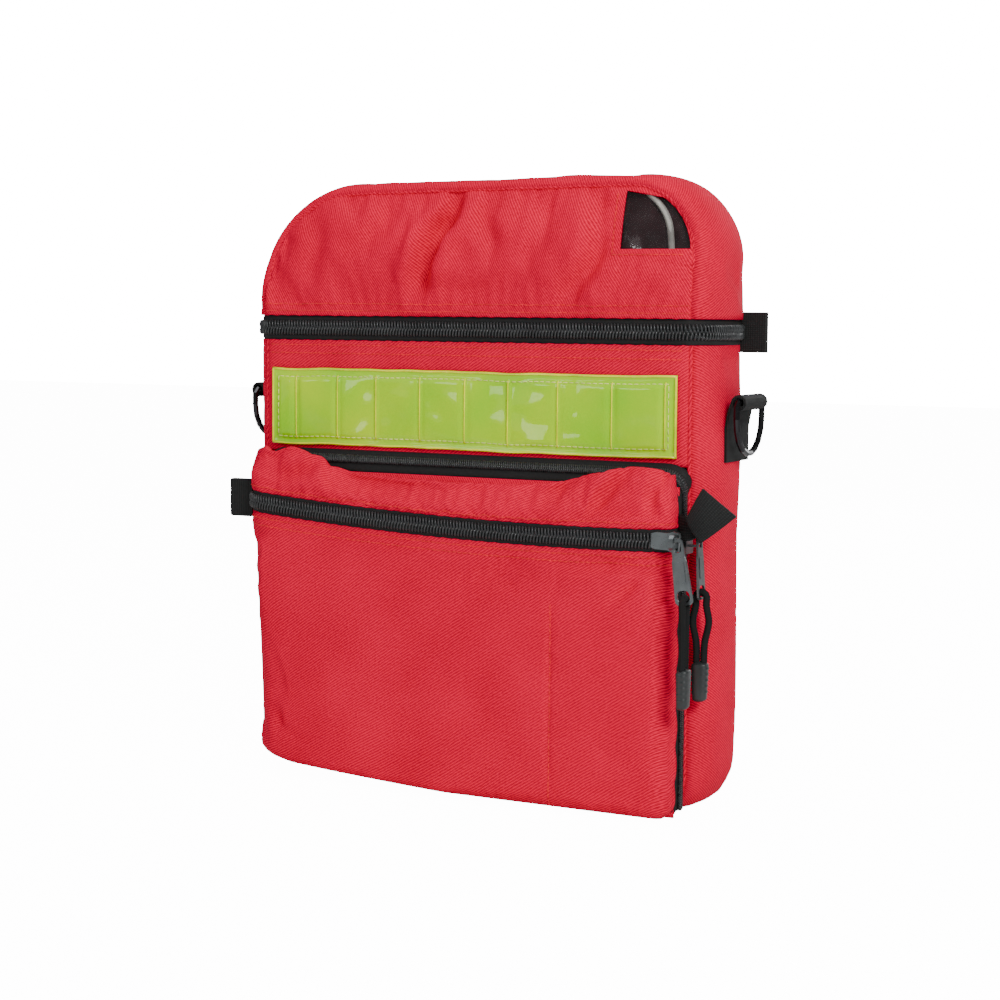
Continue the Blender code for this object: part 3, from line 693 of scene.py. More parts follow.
def on_surface(grid, rows_wanted, cols_wanted):
    """Points and outward normals of a grid of points, read at fractional rows and columns."""
    normal = unit(np.cross(np.gradient(grid, axis=1), np.gradient(grid, axis=0)))
    both = np.concatenate([grid, normal], axis=2)
    r = np.clip(np.asarray(rows_wanted, float), 0, grid.shape[0] - 1.001)
    c = np.clip(np.asarray(cols_wanted, float), 0, grid.shape[1] - 1.001)
    r, c = np.broadcast_arrays(r, c)
    r0 = r.astype(int)
    c0 = c.astype(int)
    fr = (r - r0)[:, None]
    fc = (c - c0)[:, None]
    value = (both[r0, c0] * (1 - fr) * (1 - fc) + both[r0 + 1, c0] * fr * (1 - fc)
             + both[r0, c0 + 1] * (1 - fr) * fc + both[r0 + 1, c0 + 1] * fr * fc)
    return value[:, :3], unit(value[:, 3:])


# ---------------------------------------------------------------- zippers

def zipper_half(name, path, outward, side, up, body, nodes, coil_pitch=2.2, half=2.3, wide=10.2, wire=0.62):
    """Half of a coil zipper: a woven tape strip and the coil of teeth along its inner edge.

    The path is the zipper's middle line. side is +1 for the half above or outside the line. up is the
    direction across the zipper, for each point of the path. half is half of the coil's own width.
    """
    path = np.asarray(path, float)
    outward = unit(np.broadcast_to(outward, path.shape))
    up = unit(np.broadcast_to(up, path.shape)) * side
    across = [0.2, 1.0, 2 * half, 2 * half + 0.5, 0.65 * wide, 0.85 * wide, wide]
    height = [0.0, 0.0, 0.1, 0.0, -0.1, -0.9, -2.0]
    rows = [path + up * a + outward * h for a, h in zip(across, height)]
    tape = sheet(name + "_tape", np.stack(rows), "tape", flip=side < 0)
    thicken(tape, 0.7)
    length = np.linalg.norm(np.diff(path, axis=0), axis=1).sum()
    turns = int(length / coil_pitch)
    fine = resample(np.hstack([path, outward, up]), turns * 10 + 1)
    turn = np.arange(len(fine)) / 10.0 * 2 * math.pi + (math.pi if side < 0 else 0.0)
    middle = fine[:, :3] + unit(fine[:, 6:]) * (half - 0.25) + unit(fine[:, 3:6]) * 1.1
    coil = (middle + unit(fine[:, 6:]) * (half * np.cos(turn))[:, None]
            + unit(fine[:, 3:6]) * (0.42 * half * np.sin(turn))[:, None])
    verts, faces = tube_mesh(coil, wire, sides=5)
    teeth = mesh_from(name + "_coil", verts, faces, "coil")
    for piece in (tape, teeth):
        place_on(piece, body, "zipper_tape")
    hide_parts(*nodes)


def lid_zipper_path(count=220, front=FRONT_Y + 0.8):
    """The lid zipper in plan: along the front, round both corners and back along both sides."""
    y = np.linspace(-31.0, 33.6, 34)
    side = np.stack([HALF_WIDTH + SIDE_BULGE * bulge_share(y) - 0.4, y], axis=1)
    corner = curve_through([(146.0, front, 0.0), (151.5, front + 0.7, 0.0), (155.5, front + 2.8, 0.0),
                            (side[0][0], side[0][1], 0.0)], 12)[:, :2]
    right = np.vstack([corner[:-1], side])
    left = right[::-1] * [-1, 1]
    path, outward = even_steps(np.vstack([left, right]), count)
    return np.hstack([path, np.full((count, 1), LID_ZIPPER_Z)]), level(outward)


def build_lid_zipper():
    path, outward = lid_zipper_path()
    zipper_half("lid_zipper_upper", path, outward, 1, UP, "lid", ["lid_zipper_upper_half"])
    zipper_half("lid_zipper_lower", path, outward, -1, UP, "bag_body", ["lid_zipper_lower_half"])


def pocket_zip_z(x):
    """The height of the pocket zipper's middle line, which falls to the right and sags in the middle."""
    return 174.5 + (144.0 - x) * 10.0 / 290.0 - 4.6 * (1.0 - np.clip(np.abs(x) / 150.0, 0, 1) ** 2)


POCKET_DEPTH_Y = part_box("pocket_lower_front")[0].y / MM


def pocket_plan(count):
    """The pocket's face in plan, from the left side round its front to the right side."""
    front = POCKET_DEPTH_Y
    left = curve_through([(-152.5, -50.6, 0.0), (-151.0, -55.5, 0.0), (-147.0, -60.5, 0.0),
                          (-139.0, front + 1.6, 0.0), (-124.0, front, 0.0)], 24)
    right = curve_through([(136.0, front, 0.0), (146.0, front + 0.7, 0.0), (151.3, front + 3.6, 0.0),
                           (153.2, -58.5, 0.0), (153.4, -50.6, 0.0)], 20)
    return even_steps(np.vstack([left, right])[:, :2], count)


def build_pocket_zipper():
    plan, outward = pocket_plan(240)
    path = np.hstack([plan, pocket_zip_z(plan[:, 0])[:, None]])
    out = level(outward)
    zipper_half("pocket_zipper_upper", path, out, 1, UP, "front_flap", ["pocket_zipper_upper_half"])
    zipper_half("pocket_zipper_lower", path, out, -1, UP, "front_flap", ["pocket_zipper_lower_half"])


def clamshell_path(count=300):
    """The clamshell zipper in the front view: up the left side, across under the strip, down the right."""
    arc = np.linspace(math.pi, math.pi / 2, 10)
    right = np.stack([153.0 - 12.0 - 12.0 * np.cos(arc), 213.0 - 12.0 + 12.0 * np.sin(arc)], axis=1)
    left = right * [-1, 1] + [4.0, 0.0]
    path = np.vstack([[[-149.0, 12.0]], left, right[::-1], [[153.0, 6.0]]])
    path, inward = even_steps(path, count)
    return path, -inward


def build_clamshell_zipper():
    """The tapes stand on edge between the bag's front and the flap, and lean forward under the strip."""
    plan, normal = clamshell_path()
    top = np.clip(normal[:, 1], 0.0, 1.0)
    out = unit(np.stack([normal[:, 0], -1.5 * top, 0.9 * normal[:, 1]], axis=1))
    path = settle_left(np.stack([plan[:, 0], np.full(300, -42.0), plan[:, 1]], axis=1))
    back = np.array([0.0, 1.0, 0.0])
    back = unit(back - (out @ back)[:, None] * out)
    zipper_half("clamshell_zipper_body", path, out, 1, back, "bag_body", ["clamshell_zipper_body_half"],
                1.4, 1.45, 9.0, 0.45)
    zipper_half("clamshell_zipper_flap", path, out, -1, back, "front_flap", ["clamshell_zipper_flap_half"],
                1.4, 1.45, 8.8, 0.45)


# ---------------------------------------------------------------- lid

def scalloped(x, period=9.0, depth=0.45):
    return depth * np.abs(np.sin(np.pi * x / period))


LID_FOLDS = [
    ([(-13, 394), (-14, 372), (-24, 358), (-36, 322)], 6.5, 6.0),
    ([(84, 394), (93, 352), (70, 316)], 6.5, 3.4),
    ([(-60, 388), (-64, 366), (-82, 345)], 7.0, 1.6),
    ([(16, 391), (12, 370), (22, 348)], 6.0, 1.6),
    ([(44, 390), (52, 362), (40, 335)], 9.0, 1.5),
    ([(-118, 378), (-112, 352), (-120, 326)], 8.0, 1.6),
    ([(-40, 330), (0, 322), (40, 330)], 7.0, 1.1),
]


def lid_front_grid(cols=150, rows=44):
    """Upright columns of points between the zipper's hem and the lid's seam."""
    seam, _ = lid_outline(400)
    top = resample(seam[np.abs(seam[:, 0]) < HALF_WIDTH - 0.05], cols)
    x = top[:, 0]
    x[0], x[-1] = -HALF_WIDTH, HALF_WIDTH
    high = top[:, 1]
    hem_z = LID_ZIPPER_Z + TAPE_HALF - 1.2 + scalloped(x)
    t = np.linspace(0.0, 1.0, rows)[:, None]
    z = hem_z + (high - hem_z) * t
    side = (1.0 - (1.0 - np.clip((HALF_WIDTH - np.abs(x)) / SIDE_ROUNDING, 0.0, 1.0)) ** 4) ** 0.25
    seam_y = -34.0 + seam_recede(high)
    front_y = seam_y * (1.0 - side) + (FRONT_Y - 0.6) * side
    y = front_y + (seam_y - front_y) * t ** 2
    dome = (1.0 - t ** 5) * side * np.sin(np.clip(t * 2.4, 0, math.pi / 2))
    return np.stack([np.broadcast_to(x, z.shape), y - 1.8 * dome, z], axis=2)


def window_planes(grow=0.0):
    """The window's straight left, bottom and top edges, and its right edge along the lid's seam."""
    planes = [((106.0 - grow, 365.0), (1.0, 0.0)), ((120.0, 349.5 - grow), (0.0, 1.0)),
              ((120.0, 383.2 + 0.5 * grow), (-0.18, -0.98))]
    middle = (HALF_WIDTH - RIGHT_CORNER, lid_top(120.0) - RIGHT_CORNER)
    reach = RIGHT_CORNER - 1.6 + 0.4 * grow
    for degrees in range(0, 91, 10):
        nx, nz = math.cos(math.radians(degrees)), math.sin(math.radians(degrees))
        planes.append(((middle[0] + reach * nx, middle[1] + reach * nz), (-nx, -nz)))
    return planes


def inside_planes(x, z, planes):
    good = np.ones(np.shape(x), bool)
    for (px, pz), (nx, nz) in planes:
        good &= (x - px) * nx + (z - pz) * nz > 0.0
    return good


def cut_window(piece, planes):
    """Cuts the window's outline into the mesh and removes the cloth inside it."""
    bm = bmesh.new()
    bm.from_mesh(piece.data)
    for (px, pz), (nx, nz) in planes:
        near = [f for f in bm.faces if f.calc_center_median().x > 0.095 and f.calc_center_median().z > 0.340]
        geometry = near + list({e for f in near for e in f.edges}) + list({v for f in near for v in f.verts})
        bmesh.ops.bisect_plane(bm, geom=geometry, plane_co=(px * MM, 0.0, pz * MM), plane_no=(nx, 0.0, nz))
    doomed = []
    for face in bm.faces:
        centre = face.calc_center_median() / MM
        if inside_planes(centre.x, centre.z, planes):
            doomed.append(face)
    bmesh.ops.delete(bm, geom=doomed, context="FACES")
    bm.to_mesh(piece.data)
    bm.free()
    piece.data.shade_smooth()


def build_lid_front():
    grid = lid_front_grid()
    rows, cols = grid.shape[:2]
    piece = sheet("lid_front_fabric", grid, "red", uv=grid[..., [0, 2]])
    pins = border_pins(rows, cols)
    pins[:3] = 1.0
    window_near = inside_planes(grid[..., 0], grid[..., 2], window_planes(5.0))
    pins[window_near] = 1.0
    moved = sim_cloth(piece, pins, 3.0, -0.030, 4.5).reshape(grid.shape)
    fade = np.sin(np.linspace(0, math.pi, rows))[:, None] ** 0.4
    height = 2.1 * fold_height(grid, LID_FOLDS) + 1.7 * wavy(grid, 34.0, 2.0) + 0.6 * wavy(grid, 13.0, 5.0)
    calm = smoothstep(np.hypot(grid[..., 0] - 126.0, grid[..., 2] - 366.0), 24.0, 44.0)
    moved[..., 1] -= height * fade * (0.12 + 0.88 * calm)
    moved[..., 1] = np.maximum(moved[..., 1], -46.0)
    set_points(piece, moved)
    cut_window(piece, window_planes())
    thicken(piece)
    place_on(piece, "lid", "red_fabric", "lid_front_panel")
    return moved


def surface_y(grid, x, z):
    """How far forward a panel lies at places in the front view."""
    flat = grid.reshape(-1, 3)
    out = np.zeros(np.shape(x))
    for index in np.ndindex(np.shape(x)):
        gap = (flat[:, 0] - x[index]) ** 2 + (flat[:, 2] - z[index]) ** 2
        near = np.argpartition(gap, 4)[:4]
        weight = 1.0 / (gap[near] + 0.2)
        out[index] = (flat[near, 1] * weight).sum() / weight.sum()
    return out


def masked_sheet(name, points, keep_mask, look, thickness):
    """A sheet that keeps only the faces whose corners are all marked."""
    piece = sheet(name, points, look)
    marked = keep_mask.ravel()
    bm = bmesh.new()
    bm.from_mesh(piece.data)
    bm.verts.ensure_lookup_table()
    doomed = [f for f in bm.faces if not all(marked[v.index] for v in f.verts)]
    bmesh.ops.delete(bm, geom=doomed, context="FACES")
    bm.to_mesh(piece.data)
    bm.free()
    piece.data.shade_smooth()
    return thicken(piece, thickness)


def build_window(lid_front):
    """A rumpled clear pane, and behind it the curled edge of a blank card in a dark sleeve.

    The sleeve stands off the panel behind the window, and is sewn down to it along its bottom edge.
    """
    x, z = np.meshgrid(np.linspace(96.0, 156.0, 76), np.linspace(340.0, 392.0, 66))
    front = surface_y(lid_front, x, z)
    inside = inside_planes(x, z, window_planes(3.0))
    pane_points = np.stack([x, front + 1.5, z], axis=2)
    pane_points[..., 1] += 0.8 * wavy(pane_points * [1, 0, 1], 15.0, 21.0)
    pane = masked_sheet("window_pane_vinyl", pane_points, inside, "window", 0.3)
    loose = smoothstep(z, 341.0, 347.0)
    sleeve_points = np.stack([x, front + 1.5 + 3.5 * loose, z], axis=2)
    sleeve_points[..., 1] += loose * wavy(sleeve_points * [1, 0, 1], 12.0, 31.0)
    behind = inside_planes(x, z, window_planes(8.0))
    sleeve = masked_sheet("card_sleeve_vinyl", sleeve_points, behind, "sleeve", 0.5)
    edge = curve_through([(118.0, 0, 383.0), (127.0, 0, 375.0), (133.5, 0, 364.0), (137.0, 0, 347.0)], 30)
    width = np.linspace(0.0, 1.0, 6)[:, None]
    card_x = edge[:, 0] + width * 3.6
    card_z = edge[:, 2] + width * 0.8
    card_y = surface_y(lid_front, card_x, card_z) + 3.3 - 1.0 * np.sin(width * 3.0)
    card = sheet("blank_card_curl", np.stack([card_x, card_y, card_z], axis=2), "card", flip=True)
    thicken(card, 0.4)
    for piece, node, slot in ((pane, "window_pane", "clear_vinyl"), (sleeve, "card_sleeve", "black_plastic"),
                              (card, "blank_card", "card")):
        place_on(piece, "lid", slot, node)


def build_lid_gusset(cols=150, rows=26):
    seam, normal = lid_outline(cols)
    across = depth_steps(rows)
    recede = seam_recede(seam[:, 1])
    front = -SEAM_HALF_DEPTH + recede
    back = SEAM_HALF_DEPTH - 0.5 * recede
    y = front + (back - front) * (across + 1.0) / 2.0
    share = bulge_share(across * SEAM_HALF_DEPTH)
    slim = 0.24 * (normal[:, 0] < 0.0) * smoothstep(seam[:, 1], 312.0, 345.0)
    bulge = SIDE_BULGE * normal[:, 0] ** 2 * (1.0 - slim) + TOP_BULGE * normal[:, 1] ** 2
    grid = band_grid(seam, normal, y, bulge * share)
    piece = sheet("lid_gusset_fabric", grid, "red", flip=True)
    moved = sim_cloth(piece, border_pins(rows, cols), 1.0, -0.003, 1.5).reshape(grid.shape)
    n3 = upright(normal)
    fade = np.sin(np.linspace(0, math.pi, rows))[:, None, None]
    moved = moved + n3 * (0.8 * wavy(grid, 40.0, 8.0) - 0.3)[..., None] * fade
    set_points(piece, moved)
    thicken(piece)
    place_on(piece, "lid", "red_fabric", "lid_gusset")
    return moved


def back_dome(across):
    """How full the back stands at a share of its half width."""
    return np.clip((1.0 - np.abs(across)) * 12.0, 0.0, 1.0) ** 0.5


def build_lid_back(cols=100, rows=24):
    seam, _ = lid_outline(cols)
    share = np.linspace(0.0, 1.0, cols)
    hem_x = np.interp(share, [0.0, 1.0], [-HALF_WIDTH, HALF_WIDTH])
    t = np.linspace(0.0, 1.0, rows)[:, None]
    hem_z = LID_ZIPPER_Z + 0.8
    x = hem_x + (seam[:, 0] - hem_x) * t
    z = hem_z + (seam[:, 1] - hem_z) * t
    seam_y = SEAM_HALF_DEPTH - 0.5 * seam_recede(seam[:, 1])
    y = seam_y + BACK_FULLNESS * np.cos(t * math.pi / 2.0) ** 0.5 * back_dome(2.0 * share - 1.0)
    grid = np.stack([x, np.broadcast_to(y, x.shape), z], axis=2)
    grid[..., 1] += 0.6 * wavy(grid, 30.0, 3.0)
    piece = sheet("lid_back_fabric", grid, "red", flip=True)
    thicken(piece)
    place_on(piece, "lid", "red_fabric", "lid_back_panel")


def piping(name, points, radius, body):
    """The rolled edge of a seam, slightly proud of the cloth on both sides."""
    path = resample(points, max(8, int(len(points) * 1.2)))
    swell = 1.0 + 0.12 * wavy(path, 9.0, 4.0)
    verts, faces = tube_mesh(path, radius * swell, sides=8)
    piece = mesh_from(name, verts, faces, "red")
    number = np.arange(len(verts))
    set_uvs(piece.data, np.stack([number // 8 * 1.2, number % 8 * radius * 0.8], axis=1))
    place_on(piece, body, "red_fabric")


def row_at_distance(grid, distance, from_top=False):
    """The fractional row index that lies a distance from the hem, for each column."""
    steps = np.linalg.norm(np.diff(grid, axis=0), axis=2)
    if from_top:
        steps = steps[::-1]
    along = np.vstack([np.zeros(grid.shape[1]), np.cumsum(steps, axis=0)])
    rows = np.arange(grid.shape[0])
    found = np.array([np.interp(distance, along[:, j], rows) for j in range(grid.shape[1])])
    return grid.shape[0] - 1 - found if from_top else found


def hem_stitches(heap, grid, distances, from_top=False):
    """Rows of stitches along a panel's hem, at distances from it."""
    inner = np.arange(2, grid.shape[1] - 2)
    for distance in distances:
        rows = row_at_distance(grid, distance, from_top)
        stitch_row(heap, *on_surface(grid, rows[inner], inner))


# ---------------------------------------------------------------- body

def build_main_gusset(cols=240, rows=26):
    seam, normal = body_outline(cols)
    across = depth_steps(rows)
    share = bulge_share(across * SEAM_HALF_DEPTH)
    bulge = SIDE_BULGE * normal[:, 0] ** 2 + BOTTOM_BULGE * normal[:, 1] ** 2
    grid = band_grid(seam, normal, across * SEAM_HALF_DEPTH, bulge * share)
    piece = sheet("main_gusset_fabric", grid, "red", flip=True)
    pins = border_pins(rows, cols)
    pins[:, np.abs(normal[:, 1]) > 0.9] = 1.0
    moved = sim_cloth(piece, pins, 1.0, -0.002, 1.5).reshape(grid.shape)
    n3 = upright(normal)
    fade = np.sin(np.linspace(0, math.pi, rows))[:, None, None]
    moved = moved + n3 * (0.9 * wavy(grid, 60.0, 9.0) - 0.4)[..., None] * fade * (grid[..., 2:] > 10)
    moved = settle_left(lift_rear_bottom(moved))
    moved[..., 2] = np.maximum(moved[..., 2], 0.05)
    set_points(piece, moved)
    thicken(piece)
    place_on(piece, "bag_body", "red_fabric", "main_gusset")
    return moved


def build_yoke(cols=150, rows=30):
    x = np.linspace(-HALF_WIDTH, HALF_WIDTH, cols)
    t = np.linspace(0.0, 1.0, rows)[:, None]
    high = LID_ZIPPER_Z - TAPE_HALF + 1.2 - scalloped(x + 4.0)
    z = 217.0 + (high - 217.0) * t
    side = np.sqrt(1.0 - (1.0 - np.clip((HALF_WIDTH - np.abs(x)) / SIDE_ROUNDING, 0.0, 1.0)) ** 2)
    y = -34.0 + (FRONT_Y - 0.2 + 34.0) * side * np.ones_like(t)
    grid = np.stack([np.broadcast_to(x, z.shape), y, z], axis=2)
    grid[..., 1] -= side * (0.5 * wavy(grid, 38.0, 12.0) + 0.25 * wavy(grid, 12.0, 6.0)) * np.sin(t * math.pi)
    piece = sheet("front_yoke_fabric", grid, "red_across")
    thicken(piece)
    place_on(piece, "bag_body", "red_fabric", "front_yoke")
    return grid


def build_back_panel(cols=110, rows=90):
    x = np.linspace(-1.0, 1.0, cols)
    t = np.linspace(0.0, 1.0, rows)[:, None]
    z = BOTTOM_SEAM_Z + (LID_ZIPPER_Z - 0.8 - BOTTOM_SEAM_Z) * t * np.ones(cols)
    near = np.clip((BOTTOM_CORNER + BOTTOM_SEAM_Z - z) / BOTTOM_CORNER, 0.0, 1.0)
    half = HALF_WIDTH - BOTTOM_CORNER + BOTTOM_CORNER * np.sqrt(1.0 - near ** 2)
    xx = x * half
    dome = np.sin(np.clip(t * 8, 0, math.pi / 2)) * back_dome(x)
    y = SEAM_HALF_DEPTH + BACK_FULLNESS * dome
    grid = np.stack([xx, y, z], axis=2)
    grid[..., 1] += 0.5 * wavy(grid, 40.0, 7.0) * dome
    grid = settle_left(lift_rear_bottom(grid))
    piece = sheet("back_panel_fabric", grid, "red", flip=True)
    thicken(piece)
    place_on(piece, "bag_body", "red_fabric", "back_panel")


def build_lid_hinge(cols=80, rows=15):
    """The strip of cloth inside the back seam on which the lid turns."""
    across = np.linspace(-1.0, 1.0, cols)
    z = np.linspace(LID_ZIPPER_Z - 9.0, LID_ZIPPER_Z + 9.0, rows)[:, None]
    y = SEAM_HALF_DEPTH - 2.3 + BACK_FULLNESS * back_dome(across)
    grid = np.stack(np.broadcast_arrays(across * (HALF_WIDTH - 1.0), y, z), axis=2)
    piece = sheet("lid_hinge_cloth", grid, "red")
    apply_modifiers(thicken(piece, 0.9, 0.0))
    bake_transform(piece)


FLAP_HINGE_LINE = [(-33.5, 7.6), (-35.4, 5.2), (-38.5, 3.2), (-43.0, 1.7), (-46.0, 1.8), (-47.3, 4.0),
                   (-47.3, 9.0)]


def build_flap_hinge(cols=80, rows=18):
    """The strip of cloth that joins the flap's lower edge to the bag's bottom."""
    profile = curve_through([(y, z, 0.0) for y, z in FLAP_HINGE_LINE], rows)
    x = np.linspace(-144.0, 149.0, cols)
    grid = np.stack(np.broadcast_arrays(x, profile[:, :1], profile[:, 1:2]), axis=2)
    piece = sheet("flap_hinge_cloth", settle_left(grid), "red")
    apply_modifiers(thicken(piece, 1.0, 0.0))
    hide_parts("flap_hinge_strip")
    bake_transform(piece)


# ---------------------------------------------------------------- reflective strip

STRIP_WELDS = (-127, -95, -66, -33, 0, 31, 66, 103, 139)


def build_strip(cols=240, rows=40):
    """Glossy vinyl over a prismatic backing, welded down in bars and stitched round its edge."""
    low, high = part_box("reflective_strip")
    x = np.linspace(low.x / MM, high.x / MM, cols)
    z = np.linspace(low.z / MM, high.z / MM, rows)[:, None]
    xx = np.broadcast_to(x, (rows, cols)).copy()
    zz = np.broadcast_to(z, (rows, cols)).copy()
    edge_x = np.minimum(x - x[0], x[-1] - x)
    edge_z = np.minimum(z - z[0], z[-1] - z)
    edge = np.minimum(edge_x, edge_z)
    weld = sum(np.exp(-((x - w) / 0.8) ** 2) for w in STRIP_WELDS)
    groove = sum(np.exp(-((x - w) / 2.6) ** 2) for w in STRIP_WELDS)
    flat = np.clip((edge - 4.0) / 3.0, 0.0, 1.0)
    grid = np.stack([xx, np.zeros_like(xx), zz], axis=2)
    puff = 0.9 + 1.1 * wavy(grid * [1.0, 1.0, 0.5], 38.0, 3.0) + 0.16 * wavy(grid, 13.0, 5.0)
    rim = np.exp(-((edge - 1.2) / 0.9) ** 2)
    height = flat * (1.3 * puff * (1.0 - 0.8 * groove) + 1.0 * weld) + 0.6 * rim
    sag = 0.5 * wavy(grid * [1.0, 1.0, 0.2], 70.0, 13.0)
    grid[..., 1] = low.y / MM - 0.5 - height - sag
    grid[..., 2] += 0.5 * wavy(grid * [1.0, 1.0, 0.0], 24.0, 2.0)
    piece = sheet("reflective_strip_vinyl", grid, "strip")
    thicken(piece, 1.0)
    place_on(piece, "bag_body", "reflective_vinyl", "reflective_strip")
    heap = Heap()
    inset = 5.5
    inner = [(x[0] + inset, z[0, 0] + inset), (x[-1] - inset, z[0, 0] + inset),
             (x[-1] - inset, z[-1, 0] - inset), (x[0] + inset, z[-1, 0] - inset)]
    for (ax, az), (bx, bz) in zip(inner, inner[1:] + inner[:1]):
        line = np.linspace((ax, az), (bx, bz), 60)
        col = (line[:, 0] - x[0]) / (x[-1] - x[0]) * (cols - 1)
        row = (line[:, 1] - z[0, 0]) / (z[-1, 0] - z[0, 0]) * (rows - 1)
        points, normals = on_surface(grid, row, col)
        stitch_row(heap, points, normals, 2.4, 1.6, 0.34)
    ribs = Heap()
    for place in STRIP_WELDS:
        column = (place - x[0]) / (x[-1] - x[0]) * (cols - 1)
        points, normals = on_surface(grid, np.linspace(3.5, rows - 4.5, 24), np.full(24, column))
        ribs.add(*tube_mesh(points + normals * 0.15, 0.5, sides=6))
    corners = [(0.6, 0.6), (0.6, cols - 1.6), (rows - 1.6, cols - 1.6), (rows - 1.6, 0.6)]
    for (ra, ca), (rb, cb) in zip(corners, corners[1:] + corners[:1]):
        points, normals = on_surface(grid, np.linspace(ra, rb, 60), np.linspace(ca, cb, 60))
        ribs.add(*tube_mesh(points + normals * 0.1, 0.75, sides=6))
    place_on(ribs.piece("reflective_strip_welds", "lime_rim"), "bag_body", "reflective_vinyl")
    place_on(heap.piece("reflective_strip_stitches", "lime_thread"), "bag_body", "reflective_vinyl")


# ---------------------------------------------------------------- front pocket

POCKET_TOP = [(-154, 217), (-146, 222), (-132, 219), (-118, 222), (-97, 217), (-84, 211), (-54, 207),
              (0, 205), (36, 205), (66, 206.5), (88, 211), (106, 215.5), (122, 218.5), (136, 218.5),
              (147, 217), (154, 215)]

POCKET_FOLDS = [
    ([(152, 168), (128, 160), (96, 158)], 5.0, 1.8),
    ([(152, 164), (134, 148), (112, 130)], 5.5, 2.2),
    ([(152, 160), (144, 140), (138, 112)], 5.0, 1.8),
    ([(-118, 168), (-112, 120), (-124, 60)], 12.0, 1.6),
    ([(75, 138), (75, 70), (75, 4)], 3.2, 1.3),
    ([(-136, 40), (-118, 26), (-92, 20)], 7.0, 2.0),
    ([(-30, 162), (10, 140), (60, 150)], 14.0, 1.2),
    ([(100, 60), (118, 40), (146, 34)], 10.0, 1.4),
]

UPPER_FOLDS = [
    ([(128, 219), (116, 208), (102, 190)], 4.0, 2.2),
    ([(92, 214), (84, 206), (72, 196)], 4.0, 1.8),
    ([(-96, 219), (-104, 206), (-128, 200)], 5.0, 2.0),
    ([(-84, 212), (-60, 200), (-20, 197)], 6.0, 1.3),
    ([(146, 216), (140, 200), (142, 186)], 4.0, 1.5),
]


def pocket_low(x):
    """The height of the pocket's lower edge, which turns up at its left end."""
    return 3.2 + 2.5 * smoothstep(-x, 118.0, 150.0)


def build_pocket_lower(cols=190, rows=62):
    plan, normal = pocket_plan(cols)
    t = np.linspace(0.0, 1.0, rows)[:, None]
    low = pocket_low(plan[:, 0])
    high = pocket_zip_z(plan[:, 0]) - TAPE_HALF + 2.4 - scalloped(plan[:, 0])
    z = low + (high - low) * t
    tuck = 5.0 * (1.0 - np.clip((z - low) / 9.0, 0.0, 1.0)) ** 2
    belly = 1.5 * np.sin(t * math.pi) ** 0.7 * np.clip((153 - np.abs(plan[:, 0])) / 20, 0, 1)
    out = belly - tuck + 0.4 * np.clip(t * 12 - 11, 0, 1)
    x = plan[:, 0] + normal[:, 0] * out
    y = plan[:, 1] + normal[:, 1] * out
    grid = np.stack([x, y, z], axis=2)
    piece = sheet("pocket_lower_fabric", grid, "red_across", uv=hanging_uv(grid))
    pins = border_pins(rows, cols)
    pins[-2:] = 1.0
    divider = np.abs(grid[..., 0] - DIVIDER_X) < 1.6
    pins[divider & (grid[..., 2] < DIVIDER_TOP)] = 1.0
    moved = sim_cloth(piece, pins, 2.5, -0.03, 3.0).reshape(grid.shape)
    n3 = level(normal)
    fade = np.clip(np.sin(t * math.pi) * 3.0, 0.0, 1.0)
    wrinkles = 1.4 * wavy(grid, 48.0, 14.0) + 0.5 * wavy(grid, 17.0, 6.0)
    height = 2.0 * fold_height(grid, POCKET_FOLDS) + wrinkles
    edge = np.clip(np.minimum(np.arange(cols), cols - 1 - np.arange(cols)) / 10.0, 0, 1)
    moved = moved + n3 * (height * fade * edge)[..., None]
    side_ripple = 1.3 * np.abs(np.sin(z / 7.5)) * np.clip((plan[:, 0] - 149.0) / 3.0, 0, 1)
    moved = moved + n3 * side_ripple[..., None] * fade[..., None]
    limit = POCKET_DEPTH_Y - 0.3
    beyond = np.maximum(limit - moved[..., 1], 0.0)
    moved[..., 1] = np.maximum(moved[..., 1], limit) - 0.7 * np.tanh(beyond / 1.5)
    moved[..., 2] = np.maximum(moved[..., 2], 0.4)
    moved = settle_left(moved)
    set_points(piece, moved)
    thicken(piece)
    place_on(piece, "front_flap", "red_fabric", "pocket_lower_front")
    return moved


